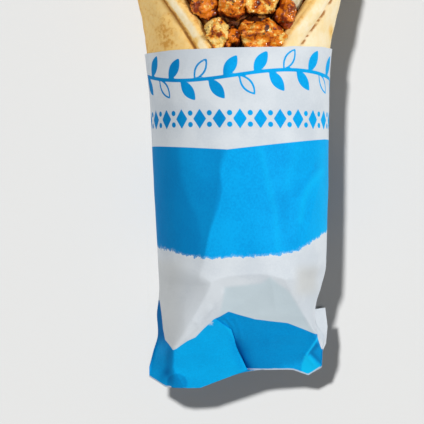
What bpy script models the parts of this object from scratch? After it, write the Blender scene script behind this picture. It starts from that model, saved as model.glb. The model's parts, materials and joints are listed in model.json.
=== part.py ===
"""A chicken wrap that lies on its back: a flatbread rolled round grilled chicken, in a paper sleeve.

The wrap lies along Y with its open end towards +Y, and it rests on z = 0. The flatbread is an oval sheet wrapped
on a tube, so its rolled hem makes the V of the opening. The chicken filling runs through the roll, and pieces of
chicken lie on it in the opening. The sleeve is a thin paper tube whose far end is folded shut.
"""

import math

import bmesh
import bpy
import numpy as np

MM = 0.001
DEGREE = math.pi / 180

# The roll: half its width, its middle and the level of its underside along its length.
ROLL_HALF_WIDTH = {-52: 35.1, -6: 36.8, 18: 37.6, 37: 39.3, 49: 41.4, 58: 43.3, 72: 45.0, 88: 45.4, 108: 43.5}
ROLL_MIDDLE = {-52: 1.1, -6: 0.3, 18: -0.1, 37: -0.6, 58: 0.0, 108: 0.0}
ROLL_UNDERSIDE = {-52: 0.95, 66: 0.95, 76: 1.2, 90: 3.2, 100: 6.4, 108: 10.0}
UNDERSIDE_ROUNDING = 1.4
UNDERSIDE_LIFT = 0.75
AXIS_HEIGHT = 31.0
CROWN_ABOVE_AXIS = 30.5
BELLY_BELOW_AXIS = 33.0
FOOD_END_Y = -50.0
FOOD_END_LENGTH = 19.0
FOOD_END_POWER = 2.2

# The flatbread: an oval cut from sheet, wrapped on the roll, with a rolled hem along its edge.
SHEET_HALF_ANGLE = 190 * DEGREE
SHEET_HALF_LENGTH = 160.5
SHEET_CENTRE_Y = -52.7
SHEET_TURN = 5 * DEGREE
SHEET_THICKNESS = 3.0
WRAP_RADIUS = 38.0
SEAM_HALF_GAP = 0.7
HEM_WIDTH = 7.9
HEM_WIDTH_CHANGE = 1.1
HEM_RISE = 2.0
HEM_DEPTH = 2.6
HEM_PROUD = 1.2
CREASE_FADE = 5.0

# The sleeve: thin paper, a little clear of the bread.
PAPER_GAP = 0.35
PAPER_WALL = 0.6
SLEEVE_EDGE_Y = 35.8
SLEEVE_EDGE_SLANT = 0.03
SEAM_THICKNESS = 2.4
CAVITY_SPARE = 1.3

# The folded end of the sleeve: its outline, and the planes of its folds as points that each plane passes through.
TAIL_LEFT = {-52: -35.0, -70.7: -34.6, -78: -35.4, -87: -35.0, -95: -36.9, -103.5: -38.7}
TAIL_RIGHT = {-52: 37.2, -60: 36.6, -66: 35.2, -73: 33.3, -85: 33.2, -92.6: 36.3, -99.7: 35.7}
TAIL_END = {-38.7: -103.4, -31.6: -107.8, -16.8: -108.2, 3.0: -100.3, 23.2: -100.6, 29.8: -103.3, 35.7: -99.6}
TAIL_SIDE_HEIGHT = {-52: 31.0, -70: 31.0, -90: 30.0, -109: 29.0}
SHOULDER_LEFT = (-7.0, -63.3, 61.0)
SHOULDER_RIGHT = (12.1, -58.7, 61.0)
APEX = (-4.7, -74.6, 52.0)
RIDGE_RIGHT = (33.1, -85.1, 36.5)
RIDGE_LEFT = (-27.8, -91.2, 42.0)
PLEAT_FOOT_LOW = (3.0, -100.3, 29.0)
TAIL_CORNER_LEFT = (-38.7, -103.5, 28.5)
TAIL_FOOT_LEFT = (-24.5, -108.0, 33.0)
TAIL_FOOT = (-16.8, -108.2, 33.0)
FLANK_CREASE = {-91.2: -27.8, -78.8: -18.2, -63.3: -7.0}
FLANK_START_Y = -55.0
FLANK_BLEND = 12.0
FLANK_POWER = 1.6
RIGHT_CREASE = {-94.0: 31.0, -85.0: 29.6, -70.0: 24.6, -56.0: 19.5}
RIGHT_START_Y = -54.0
RIGHT_BLEND = 8.0
RIGHT_POWER = 2.0
PLEAT_TOP = (-4.7, -77.0)
PLEAT_WIDTH = 6.0

# The ear of paper that stands out on the right of the folded end.
EAR_OUTLINE = ((29.0, -76.0), (33.2, -74.4), (36.9, -74.2), (37.9, -82.1), (37.2, -88.7), (34.5, -93.0), (29.0, -90.0))
EAR_HEIGHT = 26.8
EAR_THICKNESS = 1.0

# The heap of chicken in the opening. Its crown falls away to the open end as a quarter of an oval.
HEAP_CROWN = 61.0
HEAP_FOOT = 8.0
HEAP_START_Y = 50.0
HEAP_LENGTH = 51.0
HEAP_MARGIN = 5.0
CORE_CROWN = 48.0
CORE_FOOT = 13.0
CORE_LENGTH = 35.0
CORE_FRONT_SHARE = 0.86
CORE_RISE_Y = 29.0
CORE_FULL_Y = 12.0
FILLING_GAP = 1.5
PIECE_GAP = 0.35
BED_GAP = 0.6
BED_SLACK = 1.2
EDGE_GAP = 0.9
RIM_MARGIN = 4.0
HEM_SPARE = 0.6
PIECE_SIZE = (10.6, 8.4, 7.6)
PIECE_DEPTH = 6.2
PIECE_LUMP = 0.11

# Each piece on the heap: x and y of its middle, its share of the length and of the width, and its turn in degrees.
CHICKEN = (
    (-10.2, 42.0, 0.66, 0.66, 80),
    (-3.0, 40.4, 0.46, 0.42, 80),
    (9.4, 43.0, 1.10, 0.90, 4),
    (-17.4, 55.2, 0.82, 0.86, 40),
    (-4.2, 55.6, 0.78, 0.84, -12),
    (10.4, 56.8, 1.02, 0.86, 5),
    (20.6, 53.0, 0.84, 0.46, 62),
    (-22.4, 69.0, 0.95, 0.85, 60),
    (-7.6, 69.2, 1.00, 0.95, 5),
    (8.4, 71.0, 1.00, 0.92, -25),
    (24.0, 69.0, 0.95, 0.90, 50),
    (-28.4, 81.0, 0.74, 0.78, 80),
    (-15.4, 80.6, 0.90, 0.95, -20),
    (0.6, 82.4, 0.98, 0.95, 30),
    (16.6, 81.4, 0.92, 0.92, -10),
    (29.6, 81.4, 0.74, 0.82, 95),
    (-22.6, 89.6, 0.92, 0.92, 20),
    (-6.4, 90.6, 0.95, 0.95, -30),
    (9.4, 91.2, 0.95, 0.95, 15),
    (24.0, 89.2, 0.92, 0.92, -25),
    (-15.6, 97.6, 0.85, 0.80, 15),
    (1.2, 98.6, 0.88, 0.80, -8),
    (17.0, 97.6, 0.85, 0.80, 20),
)
ONION = (25.0, 55.6, 0.66, 0.34, 62)
PIECES = (*CHICKEN, ONION)

AROUND_SLEEVE = 60
AROUND_SHEET = 35
HEM_CROWDING = 0.2
AROUND_CORE = 32
PIECE_SEGMENTS = 12
PIECE_RINGS = 8


def through(knots, at):
    """A smooth curve through the knots {place: value}, flat beyond the first and the last of them."""
    place = np.array(sorted(knots), float)
    value = np.array([knots[p] for p in sorted(knots)], float)
    slope = np.gradient(value, place)
    at = np.clip(np.asarray(at, float), place[0], place[-1])
    i = np.clip(np.searchsorted(place, at, side="right") - 1, 0, len(place) - 2)
    step = place[i + 1] - place[i]
    t = (at - place[i]) / step
    return (
        value[i] * (1 + 2 * t) * (1 - t) ** 2
        + slope[i] * step * t * (1 - t) ** 2
        + value[i + 1] * t * t * (3 - 2 * t)
        + slope[i + 1] * step * t * t * (t - 1)
    )


def plane(a, b, c):
    """The height over (x, y) of the plane through three points, as a function."""
    normal = np.cross(np.subtract(b, a), np.subtract(c, a))
    return lambda x, y: a[2] - (normal[0] * (x - a[0]) + normal[1] * (y - a[1])) / normal[2]


def roll_surface(phi, y, shrink=1.0):
    """The outer face of the rolled bread: phi runs from the crown towards +X, and shrink draws in its closed end."""
    width = through(ROLL_HALF_WIDTH, y) * shrink
    up = np.cos(phi)
    height = np.where(up > 0, CROWN_ABOVE_AXIS, BELLY_BELOW_AXIS) * shrink
    x = through(ROLL_MIDDLE, y) + width * np.sin(phi)
    above = AXIS_HEIGHT + height * up - through(ROLL_UNDERSIDE, y)
    rounded = 0.5 * (above + np.sqrt(above**2 + 4 * UNDERSIDE_ROUNDING**2)) - UNDERSIDE_LIFT
    z = through(ROLL_UNDERSIDE, y) + np.maximum(rounded, 0)
    return np.stack(np.broadcast_arrays(x, y, z), axis=-1)


def normals_of(grid, closed_round=False):
    """Unit normals of a grid of points whose first index runs along Y downwards and whose second goes round."""
    if closed_round:
        wide = np.concatenate([grid[:, -1:], grid, grid[:, :1]], axis=1)
        round_way = np.gradient(wide, axis=1)[:, 1:-1]
    else:
        round_way = np.gradient(grid, axis=1)
    normal = np.cross(np.gradient(grid, axis=0), round_way)
    length = np.linalg.norm(normal, axis=-1, keepdims=True)
    return normal / np.maximum(length, 1e-9)


def food_stations(top_y, count, cap_count, clearance=0.0):
    """Places along the roll and how far each is drawn in: an even run, then a round closed end."""
    run = np.linspace(0, 1, count)
    y = top_y + (FOOD_END_Y - top_y) * run**1.25
    turn = np.linspace(0, 1, cap_count + 1)[1:] * math.pi / 2
    reach = np.sin(turn)
    cap_y = FOOD_END_Y - (FOOD_END_LENGTH + clearance) * reach
    cap_shrink = (1 - np.minimum(reach, 1 - 1e-6) ** FOOD_END_POWER) ** (1 / FOOD_END_POWER)
    return np.concatenate([y, cap_y]), np.concatenate([np.ones(count), cap_shrink])


def edge_distance(psi, y):
    """Distance from the oval sheet's outline, inwards: psi is the angle from the middle of its back."""
    along = np.maximum(y - SHEET_CENTRE_Y, 0)
    psi = np.maximum(np.abs(psi), 0.02)
    share = np.sqrt((psi / SHEET_HALF_ANGLE) ** 2 + (along / SHEET_HALF_LENGTH) ** 2)
    steep = np.sqrt(
        (psi / (SHEET_HALF_ANGLE**2 * WRAP_RADIUS)) ** 2 + (along / SHEET_HALF_LENGTH**2) ** 2
    )
    return (1 - share) * share / np.maximum(steep, 1e-6)


def hem_share(psi, distance):
    """How far a point lies across the hem, from 0 at its edge to 1 at its crease; the right hem is the wider."""
    return distance / (HEM_WIDTH - HEM_WIDTH_CHANGE * psi / (np.abs(psi) + 0.5))


def outer_offset(psi, y, distance):
    """The sheet's outer face, measured from the roll's: a rounded hem, a crease, then the plain sheet."""
    share = hem_share(psi, np.maximum(distance, 0))
    bead = np.sqrt(np.maximum(0, 1 - (2 * np.minimum(share, 1) - 1) ** 2)) ** 0.8
    clear = np.clip((y - SLEEVE_EDGE_Y - 3) / 9, 0, 1)
    hem = -HEM_RISE + (HEM_RISE + HEM_PROUD * clear) * bead
    width = distance / np.maximum(share, 1e-6)
    return np.where(share < 1, hem, -HEM_RISE * np.exp(-(distance - width) / CREASE_FADE))


def inner_offset(psi, distance, spare=0.0):
    """The sheet's inner face, measured from the roll's: deeper behind the hem, and spare widens that part."""
    share = hem_share(psi, np.maximum(distance, 0))
    beside = np.maximum(np.abs(share - 0.4) - spare, 0)
    return -SHEET_THICKNESS - HEM_DEPTH * np.exp(-((beside / 0.55) ** 2))


def heap_height(x, y, crown, foot, length, margin):
    """The height of a heap over (x, y): an oval across the roll under a crown that falls to the open end."""
    fall = np.clip((y - HEAP_START_Y) / length, 0, 1)
    top = foot + (crown - foot) * np.sqrt(1 - fall**2)
    middle = np.minimum(AXIS_HEIGHT, foot + 0.5 * (top - foot))
    across = (x - through(ROLL_MIDDLE, y)) / (through(ROLL_HALF_WIDTH, y) - margin)
    return middle + (top - middle) * np.sqrt(np.maximum(0, 1 - across**2))


def core_height(x, y):
    """The top of the filling under the loose pieces. Deep in the sleeve it reaches the bread all round."""
    rise = np.clip((CORE_RISE_Y - y) / (CORE_RISE_Y - CORE_FULL_Y), 0, 1) ** 2
    return heap_height(x, y, CORE_CROWN, CORE_FOOT, CORE_LENGTH, HEAP_MARGIN) + rise * CROWN_ABOVE_AXIS


def make_object(name, vertices, faces, material):
    """One named object from points in millimetres and faces that point outwards."""
    mesh = bpy.data.meshes.new(name)
    mesh.from_pydata((np.asarray(vertices, float) * MM).tolist(), [], faces)
    builder = bmesh.new()
    builder.from_mesh(mesh)
    bmesh.ops.remove_doubles(builder, verts=builder.verts, dist=0.01 * MM)
    bmesh.ops.recalc_face_normals(builder, faces=builder.faces)
    if builder.calc_volume(signed=True) < 0:
        bmesh.ops.reverse_faces(builder, faces=builder.faces)
    bmesh.ops.triangulate(builder, faces=builder.faces)
    builder.to_mesh(mesh)
    builder.free()
    mesh.shade_smooth()
    mesh.set_sharp_from_angle(angle=40 * DEGREE)
    mesh.materials.append(material)
    made = bpy.data.objects.new(name, mesh)
    bpy.context.scene.collection.objects.link(made)
    return made


def make_material(name, colour, roughness):
    """A plain Principled material."""
    material = bpy.data.materials.new(name)
    material.use_nodes = True
    shader = material.node_tree.nodes["Principled BSDF"]
    shader.inputs["Base Color"].default_value = (*colour, 1)
    shader.inputs["Roughness"].default_value = roughness
    shader.inputs["Metallic"].default_value = 0.0
    return material


def rings_faces(rings, size, first=0):
    """Quads between the neighbouring rings of a grid, each ring closed on itself."""
    faces = []
    for ring in range(rings - 1):
        for i in range(size):
            a = first + ring * size + i
            b = first + ring * size + (i + 1) % size
            faces.append((a, b, b + size, a + size))
    return faces


def sheet_loops():
    """The flatbread's cross-sections: out along its outer face from right to left, and back along its inner."""
    top_y = SHEET_CENTRE_Y + SHEET_HALF_LENGTH
    near_top = top_y - 0.4 - 45 * (1 - np.cos(np.linspace(0, 1, 14) * math.pi / 2))
    y, shrink = food_stations(near_top[-1] - 5.5, 9, 7)
    y = np.concatenate([near_top, y])
    shrink = np.concatenate([np.ones(len(near_top)), shrink])
    along = np.clip((y - SHEET_CENTRE_Y) / SHEET_HALF_LENGTH, 0, 1)
    span = np.minimum(SHEET_HALF_ANGLE * np.sqrt(1 - along**2), math.pi - SEAM_HALF_GAP / WRAP_RADIUS)
    spread = np.linspace(-1, 1, AROUND_SHEET)
    spread = spread * (1 + HEM_CROWDING * (1 - spread**2))
    psi = span[:, None] * spread
    phi = math.pi + SHEET_TURN + psi
    rows = np.broadcast_to(y[:, None], psi.shape)
    middle = roll_surface(phi, rows, shrink[:, None])
    normal = normals_of(middle)
    distance = edge_distance(psi, rows)
    outer = middle + normal * outer_offset(psi, rows, distance)[..., None]
    inner = middle + normal * inner_offset(psi, distance)[..., None]
    return np.concatenate([outer, inner[:, ::-1]], axis=1)


def make_flatbread(material):
    """The sheet as one closed solid. Both faces meet at a point at its closed end, and its tip has a small cap."""
    loops = sheet_loops()
    rings, size, _ = loops.shape
    half = size // 2
    end = loops[-1]
    outer_pole = end[:half].mean(axis=0)
    inner_pole = end[half:].mean(axis=0)
    loops[-1, :half] = outer_pole
    loops[-1, half:] = inner_pole
    faces = rings_faces(rings, size)
    faces.append(tuple(reversed(range(size))))
    return make_object("flatbread", loops.reshape(-1, 3), faces, material)


def make_filling(material):
    """The chicken that runs through the roll, up to its free top under the loose pieces."""
    end_y = HEAP_START_Y + CORE_LENGTH - 0.6
    start = end_y - 34 * (1 - np.cos(np.linspace(0, 1, 8) * math.pi / 2))
    y, shrink = food_stations(start[-1] - 6, 9, 6)
    y = np.concatenate([start, y])
    shrink = np.concatenate([np.ones(len(start)), shrink])
    phi = np.linspace(0, 2 * math.pi, AROUND_CORE, endpoint=False)[None, :] + np.zeros((len(y), 1))
    rows = np.broadcast_to(y[:, None], phi.shape)
    psi = (phi - SHEET_TURN) % (2 * math.pi) - math.pi
    wall = roll_surface(phi, rows, shrink[:, None])
    normal = normals_of(wall, closed_round=True)
    grid = wall + normal * (inner_offset(psi, edge_distance(psi, rows), HEM_SPARE) - FILLING_GAP)[..., None]
    grid[..., 1] = np.where(rows > CORE_RISE_Y, rows, grid[..., 1])
    grid[..., 2] = np.minimum(grid[..., 2], core_height(grid[..., 0], grid[..., 1]))
    grid[-1] = grid[-1].mean(axis=0)
    grid[0] = grid[0].mean(axis=0) + (grid[0] - grid[0].mean(axis=0)) * CORE_FRONT_SHARE
    faces = rings_faces(len(y), AROUND_CORE)
    faces.append(tuple(reversed(range(AROUND_CORE))))
    return make_object("chicken_filling", grid.reshape(-1, 3), faces, material)


def piece_size(index):
    """Half the length, width and height of a piece."""
    return np.array(PIECE_SIZE) * (PIECES[index][2], PIECES[index][3], 1.0)


def piece_frames():
    """The centre and the three axes of each piece of chicken, laid on the heap."""
    frames = []
    for x, y, _, _, turn in PIECES:
        step = 0.5
        shape = (HEAP_CROWN, HEAP_FOOT, HEAP_LENGTH, HEAP_MARGIN)
        slope_x = (heap_height(x + step, y, *shape) - heap_height(x - step, y, *shape)) / (2 * step)
        slope_y = (heap_height(x, y + step, *shape) - heap_height(x, y - step, *shape)) / (2 * step)
        up = np.array([-slope_x, -slope_y, 1.0])
        up /= np.linalg.norm(up)
        ahead = np.array([math.cos(turn * DEGREE), math.sin(turn * DEGREE), 0.0])
        ahead -= up * (ahead @ up)
        ahead /= np.linalg.norm(ahead)
        centre = np.array([x, y, float(heap_height(x, y, *shape))]) - up * PIECE_DEPTH
        frames.append((centre, np.stack([ahead, np.cross(up, ahead), up])))
    return frames


def place_in_roll(points):
    """Where points lie in the roll: the angle psi, their reach (1 at its outer face), and the hem's distance."""
    x, y, z = points.T
    height = np.where(z > AXIS_HEIGHT, CROWN_ABOVE_AXIS, BELLY_BELOW_AXIS)
    across = (x - through(ROLL_MIDDLE, y)) / through(ROLL_HALF_WIDTH, y)
    up = (z - AXIS_HEIGHT) / height
    psi = (np.arctan2(across, up) - SHEET_TURN) % (2 * math.pi) - math.pi
    return psi, np.hypot(across, up), edge_distance(psi, y)


def drawn_in(points, allowed):
    """Points drawn in towards the roll's axis to the allowed offset from its outer face."""
    middle = through(ROLL_MIDDLE, points[:, 1])
    scale = np.minimum(1, (1 + allowed / CROWN_ABOVE_AXIS) / place_in_roll(points)[1])
    drawn = points.copy()
    drawn[:, 0] = middle + (points[:, 0] - middle) * scale
    drawn[:, 2] = AXIS_HEIGHT + (points[:, 2] - AXIS_HEIGHT) * scale
    return drawn


def inside_bread(centre, offsets):
    """Offsets from a piece's centre, shortened so that the piece stays in the opening or inside the bread."""
    points = centre + offsets
    if place_in_roll(centre[None])[2][0] < -EDGE_GAP:
        low, high = np.zeros(len(points)), np.ones(len(points))
        for _ in range(14):
            share = (low + high) / 2
            clear = place_in_roll(centre + offsets * share[:, None])[2] < -EDGE_GAP
            low, high = np.where(clear, share, low), np.where(clear, high, share)
        points = centre + offsets * low[:, None]
        near_paper = points[:, 1] < SLEEVE_EDGE_Y + RIM_MARGIN
        return drawn_in(points, np.where(near_paper, -BED_GAP, CROWN_ABOVE_AXIS)) - centre
    psi, _, distance = place_in_roll(points)
    return drawn_in(points, inner_offset(psi, distance, HEM_SPARE) - BED_GAP) - centre


def make_piece(name, index, frames, material):
    """One lumpy piece, pressed flat where it meets its neighbours and what it lies on."""
    centre, axes = frames[index]
    size = piece_size(index)
    ring = np.linspace(0, math.pi, PIECE_RINGS)[1:-1]
    turn = np.linspace(0, 2 * math.pi, PIECE_SEGMENTS, endpoint=False)
    around, down = np.meshgrid(turn, ring)
    ways = np.stack([np.sin(down) * np.cos(around), np.sin(down) * np.sin(around), np.cos(down)], axis=-1)
    ways = np.concatenate([[[0, 0, 1.0]], ways.reshape(-1, 3), [[0, 0, -1.0]]])
    drawn = np.random.default_rng(100 + index)
    lumps = 1 + sum(
        PIECE_LUMP / (1 + k) * np.sin((1.2 + 0.8 * k) * (ways @ drawn.normal(size=3)) + drawn.uniform(0, 6))
        for k in range(3)
    )
    square = (np.abs(ways) ** 3).sum(axis=1) ** (-1 / 3)
    local = ways * (square * lumps)[:, None] * size
    offsets = inside_bread(centre, local @ axes)
    for other, (neighbour, neighbour_axes) in enumerate(frames):
        if other == index:
            continue
        towards = (neighbour - centre) * (1, 1, 0)
        apart = np.linalg.norm(towards)
        towards /= apart
        own = np.linalg.norm(axes @ towards * size)
        others = np.linalg.norm(neighbour_axes @ towards * piece_size(other))
        room = apart * own / (own + others) - PIECE_GAP / 2
        along = offsets @ towards
        offsets = offsets * np.minimum(1, room / np.maximum(along, 1e-6))[:, None]
    points = centre + offsets
    step = 0.5
    under = core_height(centre[0], centre[1])
    slope_x = (core_height(centre[0] + step, centre[1]) - under) / step
    slope_y = (core_height(centre[0], centre[1] + step) - under) / step
    bed = under + slope_x * (points[:, 0] - centre[0]) + slope_y * (points[:, 1] - centre[1])
    core = core_height(points[:, 0], points[:, 1])
    floor = np.clip(bed, core, core + BED_SLACK)
    back = through(ROLL_UNDERSIDE, points[:, 1]) + SHEET_THICKNESS
    points[:, 2] = np.maximum(points[:, 2], np.maximum(floor, back) + BED_GAP)
    faces = [(0, 1 + i, 1 + (i + 1) % PIECE_SEGMENTS) for i in range(PIECE_SEGMENTS)]
    faces += rings_faces(PIECE_RINGS - 2, PIECE_SEGMENTS, first=1)
    last = len(points) - 1
    lowest = last - PIECE_SEGMENTS
    faces += [(last, lowest + (i + 1) % PIECE_SEGMENTS, lowest + i) for i in range(PIECE_SEGMENTS)]
    return make_object(name, points, faces, material)


def flank_height(x, y, front, side_z, crease_knots, edge_knots, power, start_y, reach):
    """One side of the folded end's front: it leaves the front and falls from a crease to the sleeve's side."""
    centre = plane(SHOULDER_LEFT, SHOULDER_RIGHT, APEX)
    crease = np.interp(y, sorted(crease_knots), [crease_knots[k] for k in sorted(crease_knots)])
    share = (crease - x) / (crease - through(edge_knots, y))
    flank = side_z + (centre(crease, y) - side_z) * (1 - np.clip(share, 0, 1) ** power)
    blend = np.clip((start_y - y) / reach, 0, 1)
    blend = blend * blend * (3 - 2 * blend)
    return np.where(share > 0, front + (np.minimum(flank, front) - front) * blend, front)


def fold_height(x, y):
    """The front of the folded end over (x, y): the lowest of the planes of its folds."""
    centre = plane(SHOULDER_LEFT, SHOULDER_RIGHT, APEX)
    ridge_right = (*RIDGE_RIGHT[:2], centre(*RIDGE_RIGHT[:2]))
    ridge_left = (*RIDGE_LEFT[:2], centre(*RIDGE_LEFT[:2]))
    left = plane(APEX, ridge_left, TAIL_FOOT)
    right = plane(APEX, ridge_right, PLEAT_FOOT_LOW)
    side = plane(ridge_left, TAIL_FOOT_LEFT, TAIL_CORNER_LEFT)
    pleat_x = np.interp(-y, [-PLEAT_TOP[1], -PLEAT_FOOT_LOW[1]], [PLEAT_TOP[0], PLEAT_FOOT_LOW[0]])
    past = np.clip((x - pleat_x) / PLEAT_WIDTH + 0.5, 0, 1)
    below = left(x, y) * (1 - past) + right(x, y) * past
    return np.minimum(np.minimum(centre(x, y), below), side(x, y))


def sleeve_point(phi, y):
    """A point of the sleeve's outer face at the angle phi and the place y along it, in the tube or the folded end."""
    tube = roll_surface(phi, np.maximum(y, FOOD_END_Y))
    gap = PAPER_GAP + PAPER_WALL
    width = through(ROLL_HALF_WIDTH, y) + gap
    left = np.where(y > FOOD_END_Y, through(ROLL_MIDDLE, y) - width, through(TAIL_LEFT, y))
    right = np.where(y > FOOD_END_Y, through(ROLL_MIDDLE, y) + width, through(TAIL_RIGHT, y))
    x = (left + right) / 2 + (right - left) / 2 * np.sin(phi)
    end_y = np.interp(x, sorted(TAIL_END), [TAIL_END[k] for k in sorted(TAIL_END)])
    way = np.clip((y - FOOD_END_Y) / (min(TAIL_END.values()) - FOOD_END_Y), 0, 1)
    placed_y = np.where(y < FOOD_END_Y, FOOD_END_Y + (end_y - FOOD_END_Y) * way, y)
    side_z = through(TAIL_SIDE_HEIGHT, placed_y)
    up = np.cos(phi)
    front = side_z + (CROWN_ABOVE_AXIS + gap) * np.abs(up)
    left_flank = (FLANK_CREASE, TAIL_LEFT, FLANK_POWER, FLANK_START_Y, FLANK_BLEND)
    right_flank = (RIGHT_CREASE, TAIL_RIGHT, RIGHT_POWER, RIGHT_START_Y, RIGHT_BLEND)
    front = flank_height(x, placed_y, front, side_z, *left_flank)
    front = np.minimum(front, fold_height(x, placed_y))
    front = flank_height(x, placed_y, front, side_z, *right_flank)
    belly = np.maximum(side_z - (BELLY_BELOW_AXIS + gap) * np.abs(up), 0)
    thin = front - SEAM_THICKNESS * np.minimum(1, 3 * np.abs(up))
    close = np.clip((way - 0.35) / 0.65, 0, 1) ** 1.3
    back = np.minimum(belly * (1 - close) + thin * close, thin)
    z = np.where(up >= -1e-9, front, back)
    return np.stack(np.broadcast_arrays(x, placed_y, z), axis=-1), tube


def make_sleeve(material):
    """The paper: an outer face, a rim, and an inner face that is closed round the end of the bread."""
    phi = np.linspace(-math.pi / 2, 1.5 * math.pi, AROUND_SLEEVE, endpoint=False)[None, :]
    edge_x = through(ROLL_HALF_WIDTH, SLEEVE_EDGE_Y) * np.sin(phi)
    edge = SLEEVE_EDGE_Y + SLEEVE_EDGE_SLANT * edge_x
    run = np.linspace(0, 1, 8)[:, None]
    tube_y = edge + (FOOD_END_Y + 1 - edge) * run
    tail_y = np.linspace(FOOD_END_Y - 1, min(TAIL_END.values()), 18)[:, None] + np.zeros_like(phi)
    outer_y = np.concatenate([tube_y, tail_y])
    phi_rows = phi + np.zeros_like(outer_y)
    outer, _ = sleeve_point(phi_rows, outer_y)
    inner_y, shrink = food_stations(0.0, 5, 8, CAVITY_SPARE)
    cavity_y = np.concatenate([edge, edge * 0.5, inner_y[:, None] + np.zeros_like(phi)])
    cavity_shrink = np.concatenate([[1, 1], shrink])[:, None]
    inner = roll_surface(phi + np.zeros_like(cavity_y), cavity_y, cavity_shrink)
    inner = inner + normals_of(inner, closed_round=True) * PAPER_GAP
    inner[-1] = inner[-1].mean(axis=0)
    size = AROUND_SLEEVE
    rings = len(outer)
    points = np.concatenate([outer.reshape(-1, 3), inner.reshape(-1, 3)])
    start = rings * size
    faces = rings_faces(rings, size)
    faces += [tuple(reversed(f)) for f in rings_faces(len(inner), size, first=start)]
    faces += [(i, start + i, start + (i + 1) % size, (i + 1) % size) for i in range(size)]
    last = (rings - 1) * size
    half = size // 2
    for i in range(half):
        faces.append((last + i, last + i + 1, last + (size - i - 1) % size, last + (size - i) % size))
    sleeve = make_object("paper_sleeve", points, faces, material)
    add_ear(sleeve, material)
    return sleeve


def add_ear(sleeve, material):
    """Joins the ear of paper to the right side of the folded end."""
    low, high = EAR_HEIGHT - EAR_THICKNESS / 2, EAR_HEIGHT + EAR_THICKNESS / 2
    count = len(EAR_OUTLINE)
    points = [(x, y, low) for x, y in EAR_OUTLINE] + [(x, y, high) for x, y in EAR_OUTLINE]
    faces = [tuple(range(count)), tuple(reversed(range(count, 2 * count)))]
    faces += [(i, i + count, (i + 1) % count + count, (i + 1) % count) for i in range(count)]
    ear = make_object("ear", points, faces, material)
    join = sleeve.modifiers.new("ear", "BOOLEAN")
    join.operation = "UNION"
    join.object = ear
    ear.hide_render = True
    ear.display_type = "WIRE"


def main():
    """Builds the whole wrap."""
    for old in list(bpy.data.objects):
        bpy.data.objects.remove(old)
    paper = make_material("paper", (0.55, 0.7, 0.8), 0.8)
    bread = make_material("bread", (0.83, 0.62, 0.36), 0.85)
    filling = make_material("filling", (0.42, 0.16, 0.04), 0.6)
    chicken = make_material("chicken", (0.62, 0.28, 0.07), 0.5)
    onion = make_material("onion", (0.78, 0.66, 0.42), 0.5)
    make_sleeve(paper)
    make_flatbread(bread)
    make_filling(filling)
    frames = piece_frames()
    for index in range(len(CHICKEN)):
        make_piece(f"chicken_piece_{index + 1:02d}", index, frames, chicken)
    make_piece("onion_slice", len(CHICKEN), frames, onion)


main()
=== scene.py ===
"""The looks of a chicken wrap in its paper sleeve.

Lengths are in millimetres until a mesh is made. The roll of flatbread lies along Y with its open end
towards +Y. Every new piece is a closed surface worked out on a grid, and it keeps the form of the solid
that it replaces.
"""

import json
import logging
import math
from collections.abc import Callable, Mapping, Sequence
from dataclasses import dataclass, field
from enum import Enum

import bpy
import numpy as np
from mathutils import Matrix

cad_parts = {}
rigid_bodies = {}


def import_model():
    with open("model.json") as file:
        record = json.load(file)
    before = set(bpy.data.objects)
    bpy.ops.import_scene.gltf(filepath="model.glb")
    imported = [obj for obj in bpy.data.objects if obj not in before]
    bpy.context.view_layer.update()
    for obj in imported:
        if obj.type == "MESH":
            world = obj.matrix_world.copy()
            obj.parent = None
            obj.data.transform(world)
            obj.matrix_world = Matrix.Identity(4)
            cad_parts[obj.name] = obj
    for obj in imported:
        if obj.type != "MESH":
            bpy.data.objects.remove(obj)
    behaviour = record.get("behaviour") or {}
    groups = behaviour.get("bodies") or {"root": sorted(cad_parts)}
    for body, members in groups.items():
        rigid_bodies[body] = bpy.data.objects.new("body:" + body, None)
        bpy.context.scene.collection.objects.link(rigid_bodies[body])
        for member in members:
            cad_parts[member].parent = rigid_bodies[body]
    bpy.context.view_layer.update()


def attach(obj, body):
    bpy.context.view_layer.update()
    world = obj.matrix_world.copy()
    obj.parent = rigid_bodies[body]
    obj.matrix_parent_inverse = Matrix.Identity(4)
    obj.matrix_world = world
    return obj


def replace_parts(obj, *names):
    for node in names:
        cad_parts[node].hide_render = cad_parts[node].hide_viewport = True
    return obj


Array = np.ndarray
Colour = tuple[float, float, float]
Tint = Colour | bpy.types.NodeSocket
Knots = Mapping[float, float]
Point = tuple[float, float, float]
Line = tuple[tuple[float, float], ...]

MM = 0.001
DEGREE = math.pi / 180
# Multipliers that mix the numbers of a lattice corner into one that looks random.
HASH = (73856093, 19349663, 83492791, 2654435761, 1274126177, 2246822519)
# The distance inside a printed field, in millimetres, of a point that is nowhere near it.
FAR_OUTSIDE = -20.0
LOG = logging.getLogger("chicken_wrap")

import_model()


def kept(knots: Knots) -> Knots:
    """A field with knots as its default."""
    return field(default_factory=lambda: knots)


def through(knots: Knots, at: Array) -> Array:
    """A smooth curve through knots: cubic Hermite spans, flat beyond the first and the last knot.

    Args:
        knots: The value at each place.
        at: The places to read.

    Returns:
        The curve's values.
    """
    place = np.array(sorted(knots), float)
    value = np.array([knots[p] for p in sorted(knots)], float)
    slope = np.gradient(value, place)
    at = np.clip(np.asarray(at, float), place[0], place[-1])
    i = np.clip(np.searchsorted(place, at, side="right") - 1, 0, len(place) - 2)
    step = place[i + 1] - place[i]
    t = (at - place[i]) / step
    return (
        value[i] * (1 + 2 * t) * (1 - t) ** 2
        + slope[i] * step * t * (1 - t) ** 2
        + value[i + 1] * t * t * (3 - 2 * t)
        + slope[i + 1] * step * t * t * (t - 1)
    )


def straight(knots: Knots, at: Array) -> Array:
    """Straight lines between knots, flat beyond them."""
    place = sorted(knots)
    return np.interp(at, place, [knots[p] for p in place])


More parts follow.
